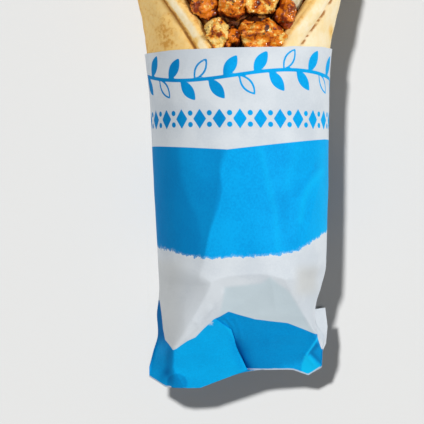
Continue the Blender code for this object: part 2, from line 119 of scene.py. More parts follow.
def smooth_step(low: float, high: float, at: Array) -> Array:
    """A soft step from 0 to 1 as `at` goes from low to high: 3t^2 - 2t^3."""
    t = np.clip((at - low) / (high - low), 0, 1)
    return t * t * (3 - 2 * t)


def bell(at: Array, reach: float) -> Array:
    """A bell, 1 at 0: e to the minus of the square of at / reach."""
    return np.exp(-((at / reach) ** 2))


def unit(vectors: Array) -> Array:
    """The vectors, each at length 1."""
    return vectors / np.maximum(np.linalg.norm(vectors, axis=-1, keepdims=True), 1e-9)


def lattice_noise(points: Array, size: float, seed: int) -> Array:
    """Smooth noise from -1 to 1: a random value at each corner of a cubic lattice, blended within each cell.

    Args:
        points: Points, with x, y and z last.
        size: The lattice's cell.
        seed: Which noise.

    Returns:
        One value for each point.
    """
    place = points / size
    base = np.floor(place).astype(np.int64)
    t = place - base
    t = t * t * t * (t * (6 * t - 15) + 10)
    total = np.zeros(points.shape[:-1])
    for corner in range(8):
        step = np.array([corner & 1, corner >> 1 & 1, corner >> 2 & 1])
        cell = base + step
        a, b, c = np.moveaxis(cell, -1, 0)
        mixed = a * HASH[0] ^ b * HASH[1] ^ c * HASH[2] ^ (seed + 1) * HASH[3]
        mixed = (mixed ^ mixed >> 13) * HASH[4] & 0xFFFFFFFF
        mixed = (mixed ^ mixed >> 16) * HASH[5] & 0xFFFFFFFF
        weight = np.prod(np.where(step == 1, t, 1 - t), axis=-1)
        total += weight * ((mixed & 0xFFFFFF) / 0x7FFFFF - 1)
    return total


def layered_noise(points: Array, size: float, seed: int, layers: int = 3) -> Array:
    """Noise in layers, each with half the cell and 0.55 of the strength of the one before.

    Args:
        points: Points, with x, y and z last.
        size: The first layer's cell.
        seed: Which noise.
        layers: How many layers.

    Returns:
        One value for each point, about -1 to 1.
    """
    total = np.zeros(points.shape[:-1])
    for layer in range(layers):
        total += 0.55**layer * lattice_noise(points, size / 2**layer, seed + 17 * layer)
    return total / 1.4


def plane(a: Sequence[float], b: Sequence[float], c: Sequence[float]) -> Callable[[Array, Array], Array]:
    """The height over (x, y) of the plane through three points."""
    normal = np.cross(np.subtract(b, a), np.subtract(c, a))
    return lambda x, y: a[2] - (normal[0] * (x - a[0]) + normal[1] * (y - a[1])) / normal[2]


def line_distance(x: Array, y: Array, line: Line) -> Array:
    """The distance over the ground to a line of straight stretches.

    Args:
        x: Places across.
        y: Places along.
        line: The line's points.

    Returns:
        The distances.
    """
    best = np.full(np.broadcast(x, y).shape, np.inf)
    for (ax, ay), (bx, by) in zip(line[:-1], line[1:]):
        dx, dy = bx - ax, by - ay
        t = np.clip(((x - ax) * dx + (y - ay) * dy) / (dx * dx + dy * dy), 0, 1)
        best = np.minimum(best, np.hypot(x - ax - t * dx, y - ay - t * dy))
    return best


def inside_distance(x: Array, y: Array, outline: Line) -> Array:
    """The distance to a closed outline, positive inside it: a ray's crossings are counted for the sign.

    Args:
        x: Places across.
        y: Places along.
        outline: The outline's corners.

    Returns:
        The signed distances.
    """
    closed = [*outline, outline[0]]
    inside = np.zeros(np.broadcast(x, y).shape, bool)
    for (ax, ay), (bx, by) in zip(closed[:-1], closed[1:]):
        if ay != by:
            spans = (ay > y) != (by > y)
            inside ^= spans & (x < ax + (bx - ax) * (y - ay) / (by - ay))
    distance = line_distance(x, y, closed)
    return np.where(inside, distance, -distance)


def normals_of(grid: Array, closed_round: bool = False) -> Array:
    """Unit normals of a grid whose rows run down the roll and whose columns go round it from the crown to +X.

    Args:
        grid: The grid's points.
        closed_round: Whether the last column meets the first.

    Returns:
        The normals, pointing out.
    """
    if closed_round:
        wide = np.concatenate([grid[:, -1:], grid, grid[:, :1]], axis=1)
        round_way = np.gradient(wide, axis=1)[:, 1:-1]
    else:
        round_way = np.gradient(grid, axis=1)
    return unit(np.cross(np.gradient(grid, axis=0), round_way))


def ring_quads(rings: int, size: int, first: int = 0, flip: bool = False) -> Array:
    """The quads between neighbouring rings, each ring closed on itself.

    Args:
        rings: How many rings.
        size: Points in a ring.
        first: The first ring's first point.
        flip: Whether the quads face the other way.

    Returns:
        Rows of four point numbers.
    """
    ring = np.arange(rings - 1)[:, None] * size + first
    i = np.arange(size)[None, :]
    j = (i + 1) % size
    quads = np.stack([ring + i, ring + size + i, ring + size + j, ring + j], axis=-1).reshape(-1, 4)
    return quads[:, ::-1] if flip else quads


def fan(first: Array | int, size: int, pole: Array | int, flip: bool = False) -> Array:
    """The triangles from a closed ring to a pole.

    Args:
        first: The ring's first point.
        size: Points in the ring.
        pole: The pole's point.
        flip: Whether the triangles face the other way.

    Returns:
        Rows of three point numbers.
    """
    i = np.arange(size)
    ends = (first + i, first + (i + 1) % size)
    return np.stack(np.broadcast_arrays(*(ends[::-1] if flip else ends), pole), axis=-1).reshape(-1, 3)


def linked(name: str, data: bpy.types.ID) -> bpy.types.Object:
    """A new object in the scene, at the origin."""
    made = bpy.data.objects.new(name, data)
    bpy.context.scene.collection.objects.link(made)
    return made


@dataclass
class Shape:
    """Points and faces of one closed piece, with values kept at its points."""

    points: Array
    faces: list[Array]
    values: dict[str, Array] = field(default_factory=dict)

    def build(self, name: str, material: bpy.types.Material, slot: str) -> bpy.types.Object:
        """Makes the mesh and its object, which rides on the root body.

        Args:
            name: The piece's name.
            material: Its material.
            slot: Not used.

        Returns:
            The object.
        """
        mesh = bpy.data.meshes.new(name)
        corners = np.concatenate([f.ravel() for f in self.faces]).astype(np.int32)
        sizes = np.concatenate([np.full(len(f), f.shape[1]) for f in self.faces]).astype(np.int32)
        starts = np.concatenate([[0], np.cumsum(sizes)[:-1]]).astype(np.int32)
        mesh.vertices.add(len(self.points))
        mesh.vertices.foreach_set("co", (self.points * MM).astype(np.float32).ravel())
        mesh.loops.add(len(corners))
        mesh.loops.foreach_set("vertex_index", corners)
        mesh.polygons.add(len(sizes))
        mesh.polygons.foreach_set("loop_start", starts)
        mesh.update(calc_edges=True)
        mesh.shade_smooth()
        for key, value in self.values.items():
            layer = mesh.attributes.new(key, "FLOAT", "POINT")
            layer.data.foreach_set("value", np.asarray(value, np.float32).ravel())
        mesh.materials.append(material)
        piece = linked(name, mesh)
        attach(piece, "root")
        LOG.info("%s: %d faces", name, len(sizes))
        return piece


@dataclass
class Amount:
    """A number that varies over a surface. Arithmetic on it adds Math nodes to its recipe."""

    recipe: "Recipe"
    socket: bpy.types.NodeSocket

    def _maths(self, operation: str, *values: "Amount | float") -> "Amount":
        """Adds one Math node."""
        made = self.recipe.node("ShaderNodeMath", {"operation": operation}, dict(enumerate(values)))
        return Amount(self.recipe, made.outputs[0])

    def __add__(self, other: "Amount | float") -> "Amount":
        """The sum."""
        return self._maths("ADD", self, other)

    __radd__ = __add__

    def __sub__(self, other: "Amount | float") -> "Amount":
        """The difference."""
        return self._maths("SUBTRACT", self, other)

    def __rsub__(self, other: "Amount | float") -> "Amount":
        """The difference, the other way."""
        return self._maths("SUBTRACT", other, self)

    def __mul__(self, other: "Amount | float") -> "Amount":
        """The product."""
        return self._maths("MULTIPLY", self, other)

    __rmul__ = __mul__

    def most(self, other: "Amount | float") -> "Amount":
        """The larger of the two."""
        return self._maths("MAXIMUM", self, other)

    def size(self) -> "Amount":
        """The value without its sign."""
        return self._maths("ABSOLUTE", self)

    def step(self, low: float, high: float) -> "Amount":
        """A soft step from 0 to 1 as the value goes from low to high.

        Args:
            low: Where the step starts.
            high: Where it ends.

        Returns:
            The step.
        """
        made = self.recipe.node(
            "ShaderNodeMapRange",
            {"interpolation_type": "SMOOTHSTEP"},
            {"Value": self, "From Min": low, "From Max": high},
        )
        return Amount(self.recipe, made.outputs[0])


class Recipe:
    """One material under construction: its nodes, and the shader that they feed."""

    def __init__(self, name: str, **constants: float) -> None:
        """Starts a material.

        Args:
            name: The material's name.
            constants: Values set on the shader itself, with _ for each space in an input's name.
        """
        self.material = bpy.data.materials.new(name)
        self.material.use_nodes = True
        self.tree = self.material.node_tree
        self.shader = self.tree.nodes["Principled BSDF"]
        for key, value in constants.items():
            self.shader.inputs[key.replace("_", " ")].default_value = value
        self.place = self.node("ShaderNodeTexCoord").outputs["Object"]

    def node(
        self, kind: str, settings: Mapping | None = None, inputs: Mapping | None = None
    ) -> bpy.types.Node:
        """Adds a node.

        Args:
            kind: The node's type.
            settings: The node's own settings, set first.
            inputs: A value, a colour, a link or an Amount for each input, by name or number.

        Returns:
            The node.
        """
        made = self.tree.nodes.new(kind)
        for key, value in (settings or {}).items():
            setattr(made, key, value)
        for key, value in (inputs or {}).items():
            if isinstance(value, Amount):
                value = value.socket
            if isinstance(value, bpy.types.NodeSocket):
                self.tree.links.new(value, made.inputs[key])
            else:
                made.inputs[key].default_value = value
        return made

    def value(self, name: str) -> Amount:
        """A value kept at the mesh's points."""
        return Amount(self, self.node("ShaderNodeAttribute", {"attribute_name": name}).outputs["Fac"])

    def noise(self, size: float, detail: float = 2.0, stretch: Sequence[float] = (1, 1, 1)) -> Amount:
        """Noise from 0 to 1.

        Args:
            size: The size of its features in millimetres.
            detail: How many finer layers it has.
            stretch: Its length along each axis.

        Returns:
            The noise.
        """
        mapping = {"Vector": self.place, "Scale": [1 / s for s in stretch]}
        place = self.node("ShaderNodeMapping", {}, mapping).outputs[0]
        inputs = {"Vector": place, "Scale": 1 / (size * MM), "Detail": detail}
        return Amount(self, self.node("ShaderNodeTexNoise", {}, inputs).outputs["Fac"])

    def spots(self, size: float, ragged: float = 0.0) -> Amount:
        """The distance to the nearest of scattered points, in units of their spacing.

        Args:
            size: The points' spacing in millimetres.
            ragged: How much noise shifts the place that is read, in millimetres.

        Returns:
            The distance.
        """
        shifted = self.place
        if ragged:
            shift = self.node("ShaderNodeTexNoise", {}, {"Vector": self.place, "Scale": 1.6 / (size * MM)})
            inputs = {0: shift.outputs["Color"], "Scale": ragged * MM}
            scaled = self.node("ShaderNodeVectorMath", {"operation": "SCALE"}, inputs)
            inputs = {0: self.place, 1: scaled.outputs[0]}
            shifted = self.node("ShaderNodeVectorMath", {"operation": "ADD"}, inputs).outputs[0]
        made = self.node("ShaderNodeTexVoronoi", {}, {"Vector": shifted, "Scale": 1 / (size * MM)})
        return Amount(self, made.outputs["Distance"])

    def blend(self, factor: Amount, low: Tint, high: Tint) -> bpy.types.NodeSocket:
        """A colour between two others.

        Args:
            factor: 0 for the first, 1 for the second.
            low: The first colour.
            high: The second colour.

        Returns:
            The mixed colour.
        """
        ends = {key: (*end, 1.0) if isinstance(end, tuple) else end for key, end in ((6, low), (7, high))}
        return self.node("ShaderNodeMix", {"data_type": "RGBA"}, {0: factor, **ends}).outputs[2]

    def finish(
        self, colour: bpy.types.NodeSocket, roughness: Amount, relief: Amount, depth: float
    ) -> bpy.types.Material:
        """Feeds the shader.

        Args:
            colour: The base colour.
            roughness: The roughness.
            relief: The height of the fine relief, from 0 to 1.
            depth: That relief's full depth in millimetres.

        Returns:
            The finished material.
        """
        bump = self.node("ShaderNodeBump", {}, {"Height": relief, "Distance": depth * MM})
        self.tree.links.new(colour, self.shader.inputs["Base Color"])
        self.tree.links.new(roughness.socket, self.shader.inputs["Roughness"])
        self.tree.links.new(bump.outputs[0], self.shader.inputs["Normal"])
        return self.material


@dataclass(frozen=True)
class PaperFinish:
    """White uncoated paper printed in one blue: a band, a row of motifs, a sprig and a foot, with painted shade
    and highlight.
    """

    white: Colour = (0.68, 0.725, 0.765)
    shade: Colour = (0.60, 0.65, 0.70)
    # Painted shade colours for the white paper.
    painted_shade_bluish: Colour = (0.52, 0.63, 0.68)
    painted_shade_beige: Colour = (0.57, 0.57, 0.54)
    blue: Colour = (0.002, 0.40, 0.86)
    deep_blue: Colour = (0.001, 0.31, 0.73)
    # Painted shade and painted highlight colours for the blue print.
    painted_shade_blue: Colour = (0.0005, 0.14, 0.40)
    painted_highlight_blue: Colour = (0.003, 0.56, 0.98)
    fuzz: Colour = (0.78, 0.83, 0.87)
    torn_reach: float = 1.5

    def make(self) -> bpy.types.Material:
        """Mixes white and blue by the distances kept at the points, with a torn lower edge on the band, and
        lays in the painted shade and highlight kept at the points.

        Returns:
            The material.
        """
        r = Recipe("printed_paper", Specular_IOR_Level=0.04)
        mottle = r.noise(16, 3)
        grain = r.noise(0.9, 3)
        fibre = r.noise(0.35, 2, (1, 4, 1))
        torn = (r.noise(2.6, 4) - 0.5) * (2.6 * self.torn_reach) + (r.noise(0.6, 2) - 0.5) * self.torn_reach
        foot = (r.value("band_foot") + torn).step(-0.12, 0.12)
        band = r.value("band_top").step(-0.1, 0.1) * foot
        motif = r.value("motif").step(-0.12, 0.12)
        tail = (r.value("tail") + (grain - 0.5) * 0.12).step(-0.12, 0.12)
        scuffed = (r.value("wear") + (r.noise(1.4, 3) - 0.5) * 0.9).step(0.5, 0.85)
        ink = band.most(motif).most(tail) * (1 - scuffed * 0.8)
        paper = r.blend((mottle * 0.8 + grain * 0.2).step(0.36, 0.62), self.shade, self.white)
        # Painted shade on the white paper, kept at the points.
        paper = r.blend(r.value("painted_shade_tint").most(0.0), paper, self.painted_shade_bluish)
        paper = r.blend((0 - r.value("painted_shade_tint")).most(0.0), paper, self.painted_shade_beige)
        # Painted shade and painted highlight on the blue, kept at the points.
        painted_shade_and_highlight = r.value("painted_shade_and_highlight")
        clouded = (mottle * 0.4 + grain * 0.35 + fibre * 0.25).step(0.34, 0.62)
        printed = r.blend(clouded, self.deep_blue, self.blue)
        printed = r.blend(painted_shade_and_highlight.most(0.0), printed, self.painted_shade_blue)
        printed = r.blend((0 - painted_shade_and_highlight).most(0.0), printed, self.painted_highlight_blue)
        colour = r.blend(ink, paper, printed)
        fuzz = (r.value("band_foot") + torn).size().step(1.3, 0.0) * r.value("band_top").step(0, 4)
        colour = r.blend(fuzz * 0.35 * r.noise(0.5, 2), colour, self.fuzz)
        relief = grain * 0.45 + fibre * 0.25 + r.noise(4.5, 3) * 0.6
        return r.finish(colour, 0.78 - ink * 0.16, relief, 0.08)


@dataclass(frozen=True)
class BreadFinish:
    """Soft flatbread: cream, toasted tan in patches, with brown spots, a dark crease behind its hem, and
    painted shade and highlight.
    """

    cream: Colour = (0.93, 0.72, 0.36)
    pale: Colour = (0.97, 0.85, 0.60)
    tan: Colour = (0.92, 0.58, 0.165)
    golden: Colour = (0.66, 0.30, 0.040)
    brown: Colour = (0.38, 0.14, 0.022)

    def make(self) -> bpy.types.Material:
        """Mixes the colours by noise, by the toasted tan with painted shade and highlight kept at the points,
        and by the distance from the crease.

        Returns:
            The material.
        """
        r = Recipe("toasted_flatbread", Specular_IOR_Level=0.3)
        cloud = r.noise(11, 4)
        fine = r.noise(1.6, 4)
        pore = r.noise(0.45, 2)
        bubble = r.spots(7.0, 2.0)
        toast_and_painted_light = r.value("toast_and_painted_light")
        colour = r.blend((cloud * 0.7 + fine * 0.3).step(0.38, 0.64), self.cream, self.pale)
        tanned = (toast_and_painted_light + (cloud - 0.5) * 0.7 + (fine - 0.5) * 0.35).step(0.1, 0.8)
        colour = r.blend(tanned * 0.9, colour, self.tan)
        spotted = (bubble - fine * 0.3).step(0.16, -0.04) * (cloud + toast_and_painted_light * 0.2).step(0.6, 0.75)
        mottled = (fine * 0.6 + pore * 0.4).step(0.42, 0.62) * (toast_and_painted_light + 0.35).step(0.2, 0.9)
        colour = r.blend(mottled * 0.6, colour, self.tan)
        colour = r.blend(r.noise(4.0, 3).step(0.50, 0.72) * toast_and_painted_light.step(0.2, 0.6) * 0.24, colour, self.golden)
        browned = (toast_and_painted_light + (fine - 0.5) * 2.4 + (cloud - 0.5) * 0.5 - 0.70).step(0.0, 0.75)
        colour = r.blend((spotted * 0.5).most(browned) * 0.85, colour, self.golden)
        line = (r.value("past") + (fine - 0.5) * 1.1).size()
        crease = line.step(1.05, 0.40) * (r.value("crease") + (r.noise(3.0, 2) - 0.5) * 0.6).step(0.25, 0.75)
        colour = r.blend(line.step(1.8, 0.5) * r.value("crease") * 0.4, colour, self.golden)
        colour = r.blend(crease * 0.85, colour, self.brown)
        specks = r.spots(4.2).step(0.09, 0.03) * r.noise(9, 2).step(0.52, 0.62)
        colour = r.blend(specks * 0.35, colour, self.golden)
        relief = fine * 0.5 + pore * 0.25 + bubble.step(0.5, 0.1) * 0.4
        return r.finish(colour, 0.82 - fine * 0.12, relief, 0.22)


@dataclass(frozen=True)
class ChickenFinish:
    """Glossy grilled chicken: pale meat under orange glaze, red and dark in its dents and low between pieces as
    glaze with painted shade, charred in places.
    """

    cream: Colour = (0.98, 0.70, 0.22)
    pale: Colour = (0.96, 0.48, 0.060)
    orange: Colour = (0.82, 0.21, 0.006)
    red: Colour = (0.28, 0.038, 0.004)
    dark: Colour = (0.050, 0.013, 0.004)
    char: Colour = (0.060, 0.035, 0.030)

    def make(self) -> bpy.types.Material:
        """Mixes the colours by the piece's tone, by how deep each point lies, which lays glaze and painted
        shade into dents and between pieces, and by noise.

        Returns:
            The material.
        """
        r = Recipe("grilled_chicken", Coat_Weight=0.7, Coat_Roughness=0.07, Specular_IOR_Level=0.12)
        tone = r.value("tone")
        dent_glaze_and_shade = r.value("dent_glaze_and_shade")
        low = r.value("low")
        cloud = r.noise(4.6, 3)
        patch = r.noise(2.5, 4)
        fine = r.noise(0.9, 4)
        mixed = (cloud - 0.5) * 2.8 + (patch - 0.5) * 3.6 + (fine - 0.5) * 0.9
        # Dents and low sides between pieces get less cream and more glaze and red: glaze with painted shade.
        colour = r.blend((mixed + tone + dent_glaze_and_shade * 0.3 + low * 0.6).step(0.30, -0.30), self.pale, self.cream)
        glazed = (mixed + tone * 1.2 + dent_glaze_and_shade * 0.4 + low * 0.9).step(0.05, 0.55)
        colour = r.blend(glazed, colour, self.orange)
        redder = (mixed + tone * 0.6 + dent_glaze_and_shade * 0.7 + low * 1.4).step(0.62, 1.15)
        colour = r.blend(redder, colour, self.red)
        seam = (r.noise(2.6, 2) - 0.5).size().step(0.035, 0.0) * (cloud + low * 0.4).step(0.42, 0.6)
        colour = r.blend(seam * 0.7, colour, self.red)
        # Near black in the deepest dents and low between pieces: sauce with painted shade.
        sunk = ((fine - 0.5) * 1.0 + (patch - 0.5) * 3.4 + dent_glaze_and_shade * 0.6 + low * 1.3).step(0.74, 1.20)
        colour = r.blend(sunk * 0.92, colour, self.dark)
        spot = (r.value("spot") + (fine - 0.5) * 0.5).step(0.35, 0.8)
        colour = r.blend(spot, colour, self.red)
        charred = (r.value("char") + (fine - 0.5) * 1.3 + (patch - 0.5) * 1.2).step(0.45, 0.75)
        colour = r.blend(charred * 0.85, colour, self.char)
        relief = patch * 0.45 + fine * 0.55
        return r.finish(colour, 0.22 + fine * 0.25, relief, 1.0)


@dataclass(frozen=True)
class FillingFinish:
    """Dark sauce and chopped herbs between the pieces, and sauced meat where the open end shows it."""

    sauce: Colour = (0.26, 0.060, 0.010)
    meat: Colour = (0.62, 0.21, 0.024)
    cream: Colour = (0.95, 0.56, 0.11)
    glaze: Colour = (0.80, 0.24, 0.012)
    dark: Colour = (0.11, 0.026, 0.006)
    herb: Colour = (0.17, 0.105, 0.016)

    def make(self) -> bpy.types.Material:
        """Mixes sauce, meat and herbs by noise, brighter near the open end.

        Returns:
            The material.
        """
        r = Recipe("sauced_filling", Coat_Weight=0.12, Coat_Roughness=0.15, Specular_IOR_Level=0.1)
        patch = r.noise(3.2, 4)
        fine = r.noise(0.9, 3)
        shown = r.value("shown")
        colour = r.blend((patch * 0.7 + fine * 0.3 + shown * 0.12).step(0.42, 0.62), self.sauce, self.meat)
        lit = (r.noise(4.0, 3) + fine * 0.3 + shown * 0.3).step(0.92, 1.06)
        colour = r.blend(shown * 0.6, colour, self.glaze)
        colour = r.blend(lit * shown, colour, self.cream)
        seam = (r.noise(3.6, 2) - 0.5).size().step(0.05, 0.0)
        lost = seam.most((patch * 0.7 + fine * 0.3).step(0.47, 0.38))
        colour = r.blend(lost * shown * 0.9, colour, self.dark)
        herbs = r.spots(2.0, 1.4).step(0.32, 0.2) * r.noise(6, 2).step(0.42, 0.52)
        colour = r.blend(herbs * 0.85, colour, self.herb)
        return r.finish(colour, 0.3 + fine * 0.25, patch * 0.6 + fine * 0.4, 0.7)


@dataclass(frozen=True)
class OnionFinish:
    """Pale moist onion with faint lengthwise lines."""

    pale: Colour = (0.80, 0.74, 0.56)
    shade: Colour = (0.60, 0.50, 0.26)

    def make(self) -> bpy.types.Material:
        """Mixes two pale colours by noise.

        Returns:
            The material.
        """
        r = Recipe("pale_onion", Coat_Weight=0.4, Coat_Roughness=0.15)
        line = r.noise(1.6, 3, (1, 5, 1))
        colour = r.blend(line.step(0.36, 0.64), self.shade, self.pale)
        return r.finish(colour, 0.25 + line * 0.2, line, 0.2)


@dataclass(frozen=True)
class HerbFinish:
    """Chopped dark herbs."""

    light: Colour = (0.16, 0.095, 0.018)
    dark: Colour = (0.050, 0.028, 0.007)

    def make(self) -> bpy.types.Material:
        """Mixes two brownish greens by noise.

        Returns:
            The material.
        """
        r = Recipe("chopped_herbs")
        patch = r.noise(1.8, 2)
        colour = r.blend(patch.step(0.4, 0.6), self.dark, self.light)
        return r.finish(colour, 0.45 + patch * 0.2, patch, 0.1)


@dataclass(frozen=True)
class FloorFinish:
    """A plain matt surface, which strong lights of its own make pale."""

    grey: Colour = (0.30, 0.30, 0.297)
    roughness: float = 0.9
    specular: float = 0.1

    def make(self) -> bpy.types.Material:
        """A matt grey.

        Returns:
            The material.
        """
        r = Recipe("pale_floor", Roughness=self.roughness, Specular_IOR_Level=self.specular)
        r.shader.inputs["Base Color"].default_value = (*self.grey, 1)
        return r.material


@dataclass(frozen=True)
class Roll:
    """The rolled bread: its half width, middle and underside along its length, and its sheet's sizes."""

    half_width: Knots = kept({
        -52: 35.1, -6: 36.8, 18: 37.6, 37: 39.3, 49: 41.4, 58: 43.3, 72: 45.0, 88: 45.4, 108: 43.5,
    })
    middle: Knots = kept({-52: 1.1, -6: 0.3, 18: -0.1, 37: -0.6, 58: 0.0, 108: 0.0})
    underside: Knots = kept({-52: 0.95, 66: 0.95, 76: 1.2, 90: 3.2, 100: 6.4, 108: 10.0})
    underside_rounding: float = 1.4
    underside_lift: float = 0.75
    axis: float = 31.0
    crown: float = 30.5
    belly: float = 33.0
    end_y: float = -50.0
    end_length: float = 19.0
    end_power: float = 2.2
    half_angle: float = 190 * DEGREE
    half_length: float = 160.5
    centre_y: float = -52.7
    turn: float = 5 * DEGREE
    thickness: float = 3.0
    wrap_radius: float = 38.0
    hem_width: float = 7.9
    hem_width_change: float = 1.1
    hem_depth: float = 2.6
    hem_middle: float = 0.4
    hem_reach: float = 0.55
    tucked: float = 2.4
    tuck_from: float = 24.0
    tuck_length: float = 14.0

    def surface(self, phi: Array, y: Array, shrink: Array | float = 1.0) -> Array:
        """The roll's outer face: an oval across, phi from the crown towards +X, softly flattened below.

        Args:
            phi: The angle round the roll.
            y: The place along it.
            shrink: How far the closed end draws in.

        Returns:
            The points.
        """
        width = through(self.half_width, y) * shrink
        up = np.cos(phi)
        height = np.where(up > 0, self.crown, self.belly) * shrink
        under = through(self.underside, y)
        above = self.axis + height * up - under
        rounded = 0.5 * (above + np.sqrt(above**2 + 4 * self.underside_rounding**2)) - self.underside_lift
        x = through(self.middle, y) + width * np.sin(phi)
        return np.stack(np.broadcast_arrays(x, y, under + np.maximum(rounded, 0)), axis=-1)

    def tuck(self, y: Array, later: float = 0.0) -> Array:
        """How far the food draws in deep in the sleeve, to leave room for the paper's folds."""
        start = self.tuck_from - later
        return -self.tucked * smooth_step(start, start - self.tuck_length, y)

    def closed_end(self, count: int, spare: float = 0.0) -> tuple[Array, Array]:
        """Stations along the round closed end, and how far each is drawn in.

        Args:
            count: How many stations.
            spare: How much longer the end is.

        Returns:
            The places and the shares.
        """
        reach = np.sin(np.linspace(0, 1, count + 1)[1:] * math.pi / 2)
        share = (1 - np.minimum(reach, 1 - 1e-6) ** self.end_power) ** (1 / self.end_power)
        return self.end_y - (self.end_length + spare) * reach, share

    def edge_distance(self, psi: Array, y: Array) -> Array:
        """Distance inwards from the oval sheet's outline, psi being the angle from the middle of its back.

        Args:
            psi: The angle.
            y: The place along the roll.

        Returns:
            The distances.
        """
        along = np.maximum(y - self.centre_y, 0)
        psi = np.maximum(np.abs(psi), 0.02)
        share = np.sqrt((psi / self.half_angle) ** 2 + (along / self.half_length) ** 2)
        across = psi / (self.half_angle**2 * self.wrap_radius)
        steep = np.sqrt(across**2 + (along / self.half_length**2) ** 2)
        return (1 - share) * share / np.maximum(steep, 1e-6)

    def hem_span(self, psi: Array) -> Array:
        """The hem's width at an angle from the middle of the back."""
        return self.hem_width - self.hem_width_change * psi / (np.abs(psi) + 0.5)

    def hem_share(self, psi: Array, distance: Array) -> Array:
        """How far a point lies across the hem, 0 at the edge and 1 at the crease."""
        return distance / self.hem_span(psi)

    def inner_offset(self, psi: Array, distance: Array, spare: float = 0.0) -> Array:
        """The sheet's inner face, measured from the roll's outer face: deeper behind the hem.

        Args:
            psi: The angle from the middle of the back.
            distance: The distance from the sheet's outline.
            spare: How much wider the deep part is.

        Returns:
            The offsets.
        """
        share = self.hem_share(psi, np.maximum(distance, 0))
        beside = np.maximum(np.abs(share - self.hem_middle) - spare, 0)
        return -self.thickness - self.hem_depth * bell(beside, self.hem_reach)


@dataclass(frozen=True)
class Patch:
    """A soft oval patch over the ground: its middle, its reach across and along, and its strength."""

    x: float
    y: float
    wide: float
    long: float
    most: float

    def at(self, x: Array, y: Array, power: int = 2) -> Array:
        """The strength at places: e to the minus of the sum of both shares of the reach, each to a power."""
        fall = ((x - self.x) / self.wide) ** power + ((y - self.y) / self.long) ** power
        return self.most * np.exp(-fall)


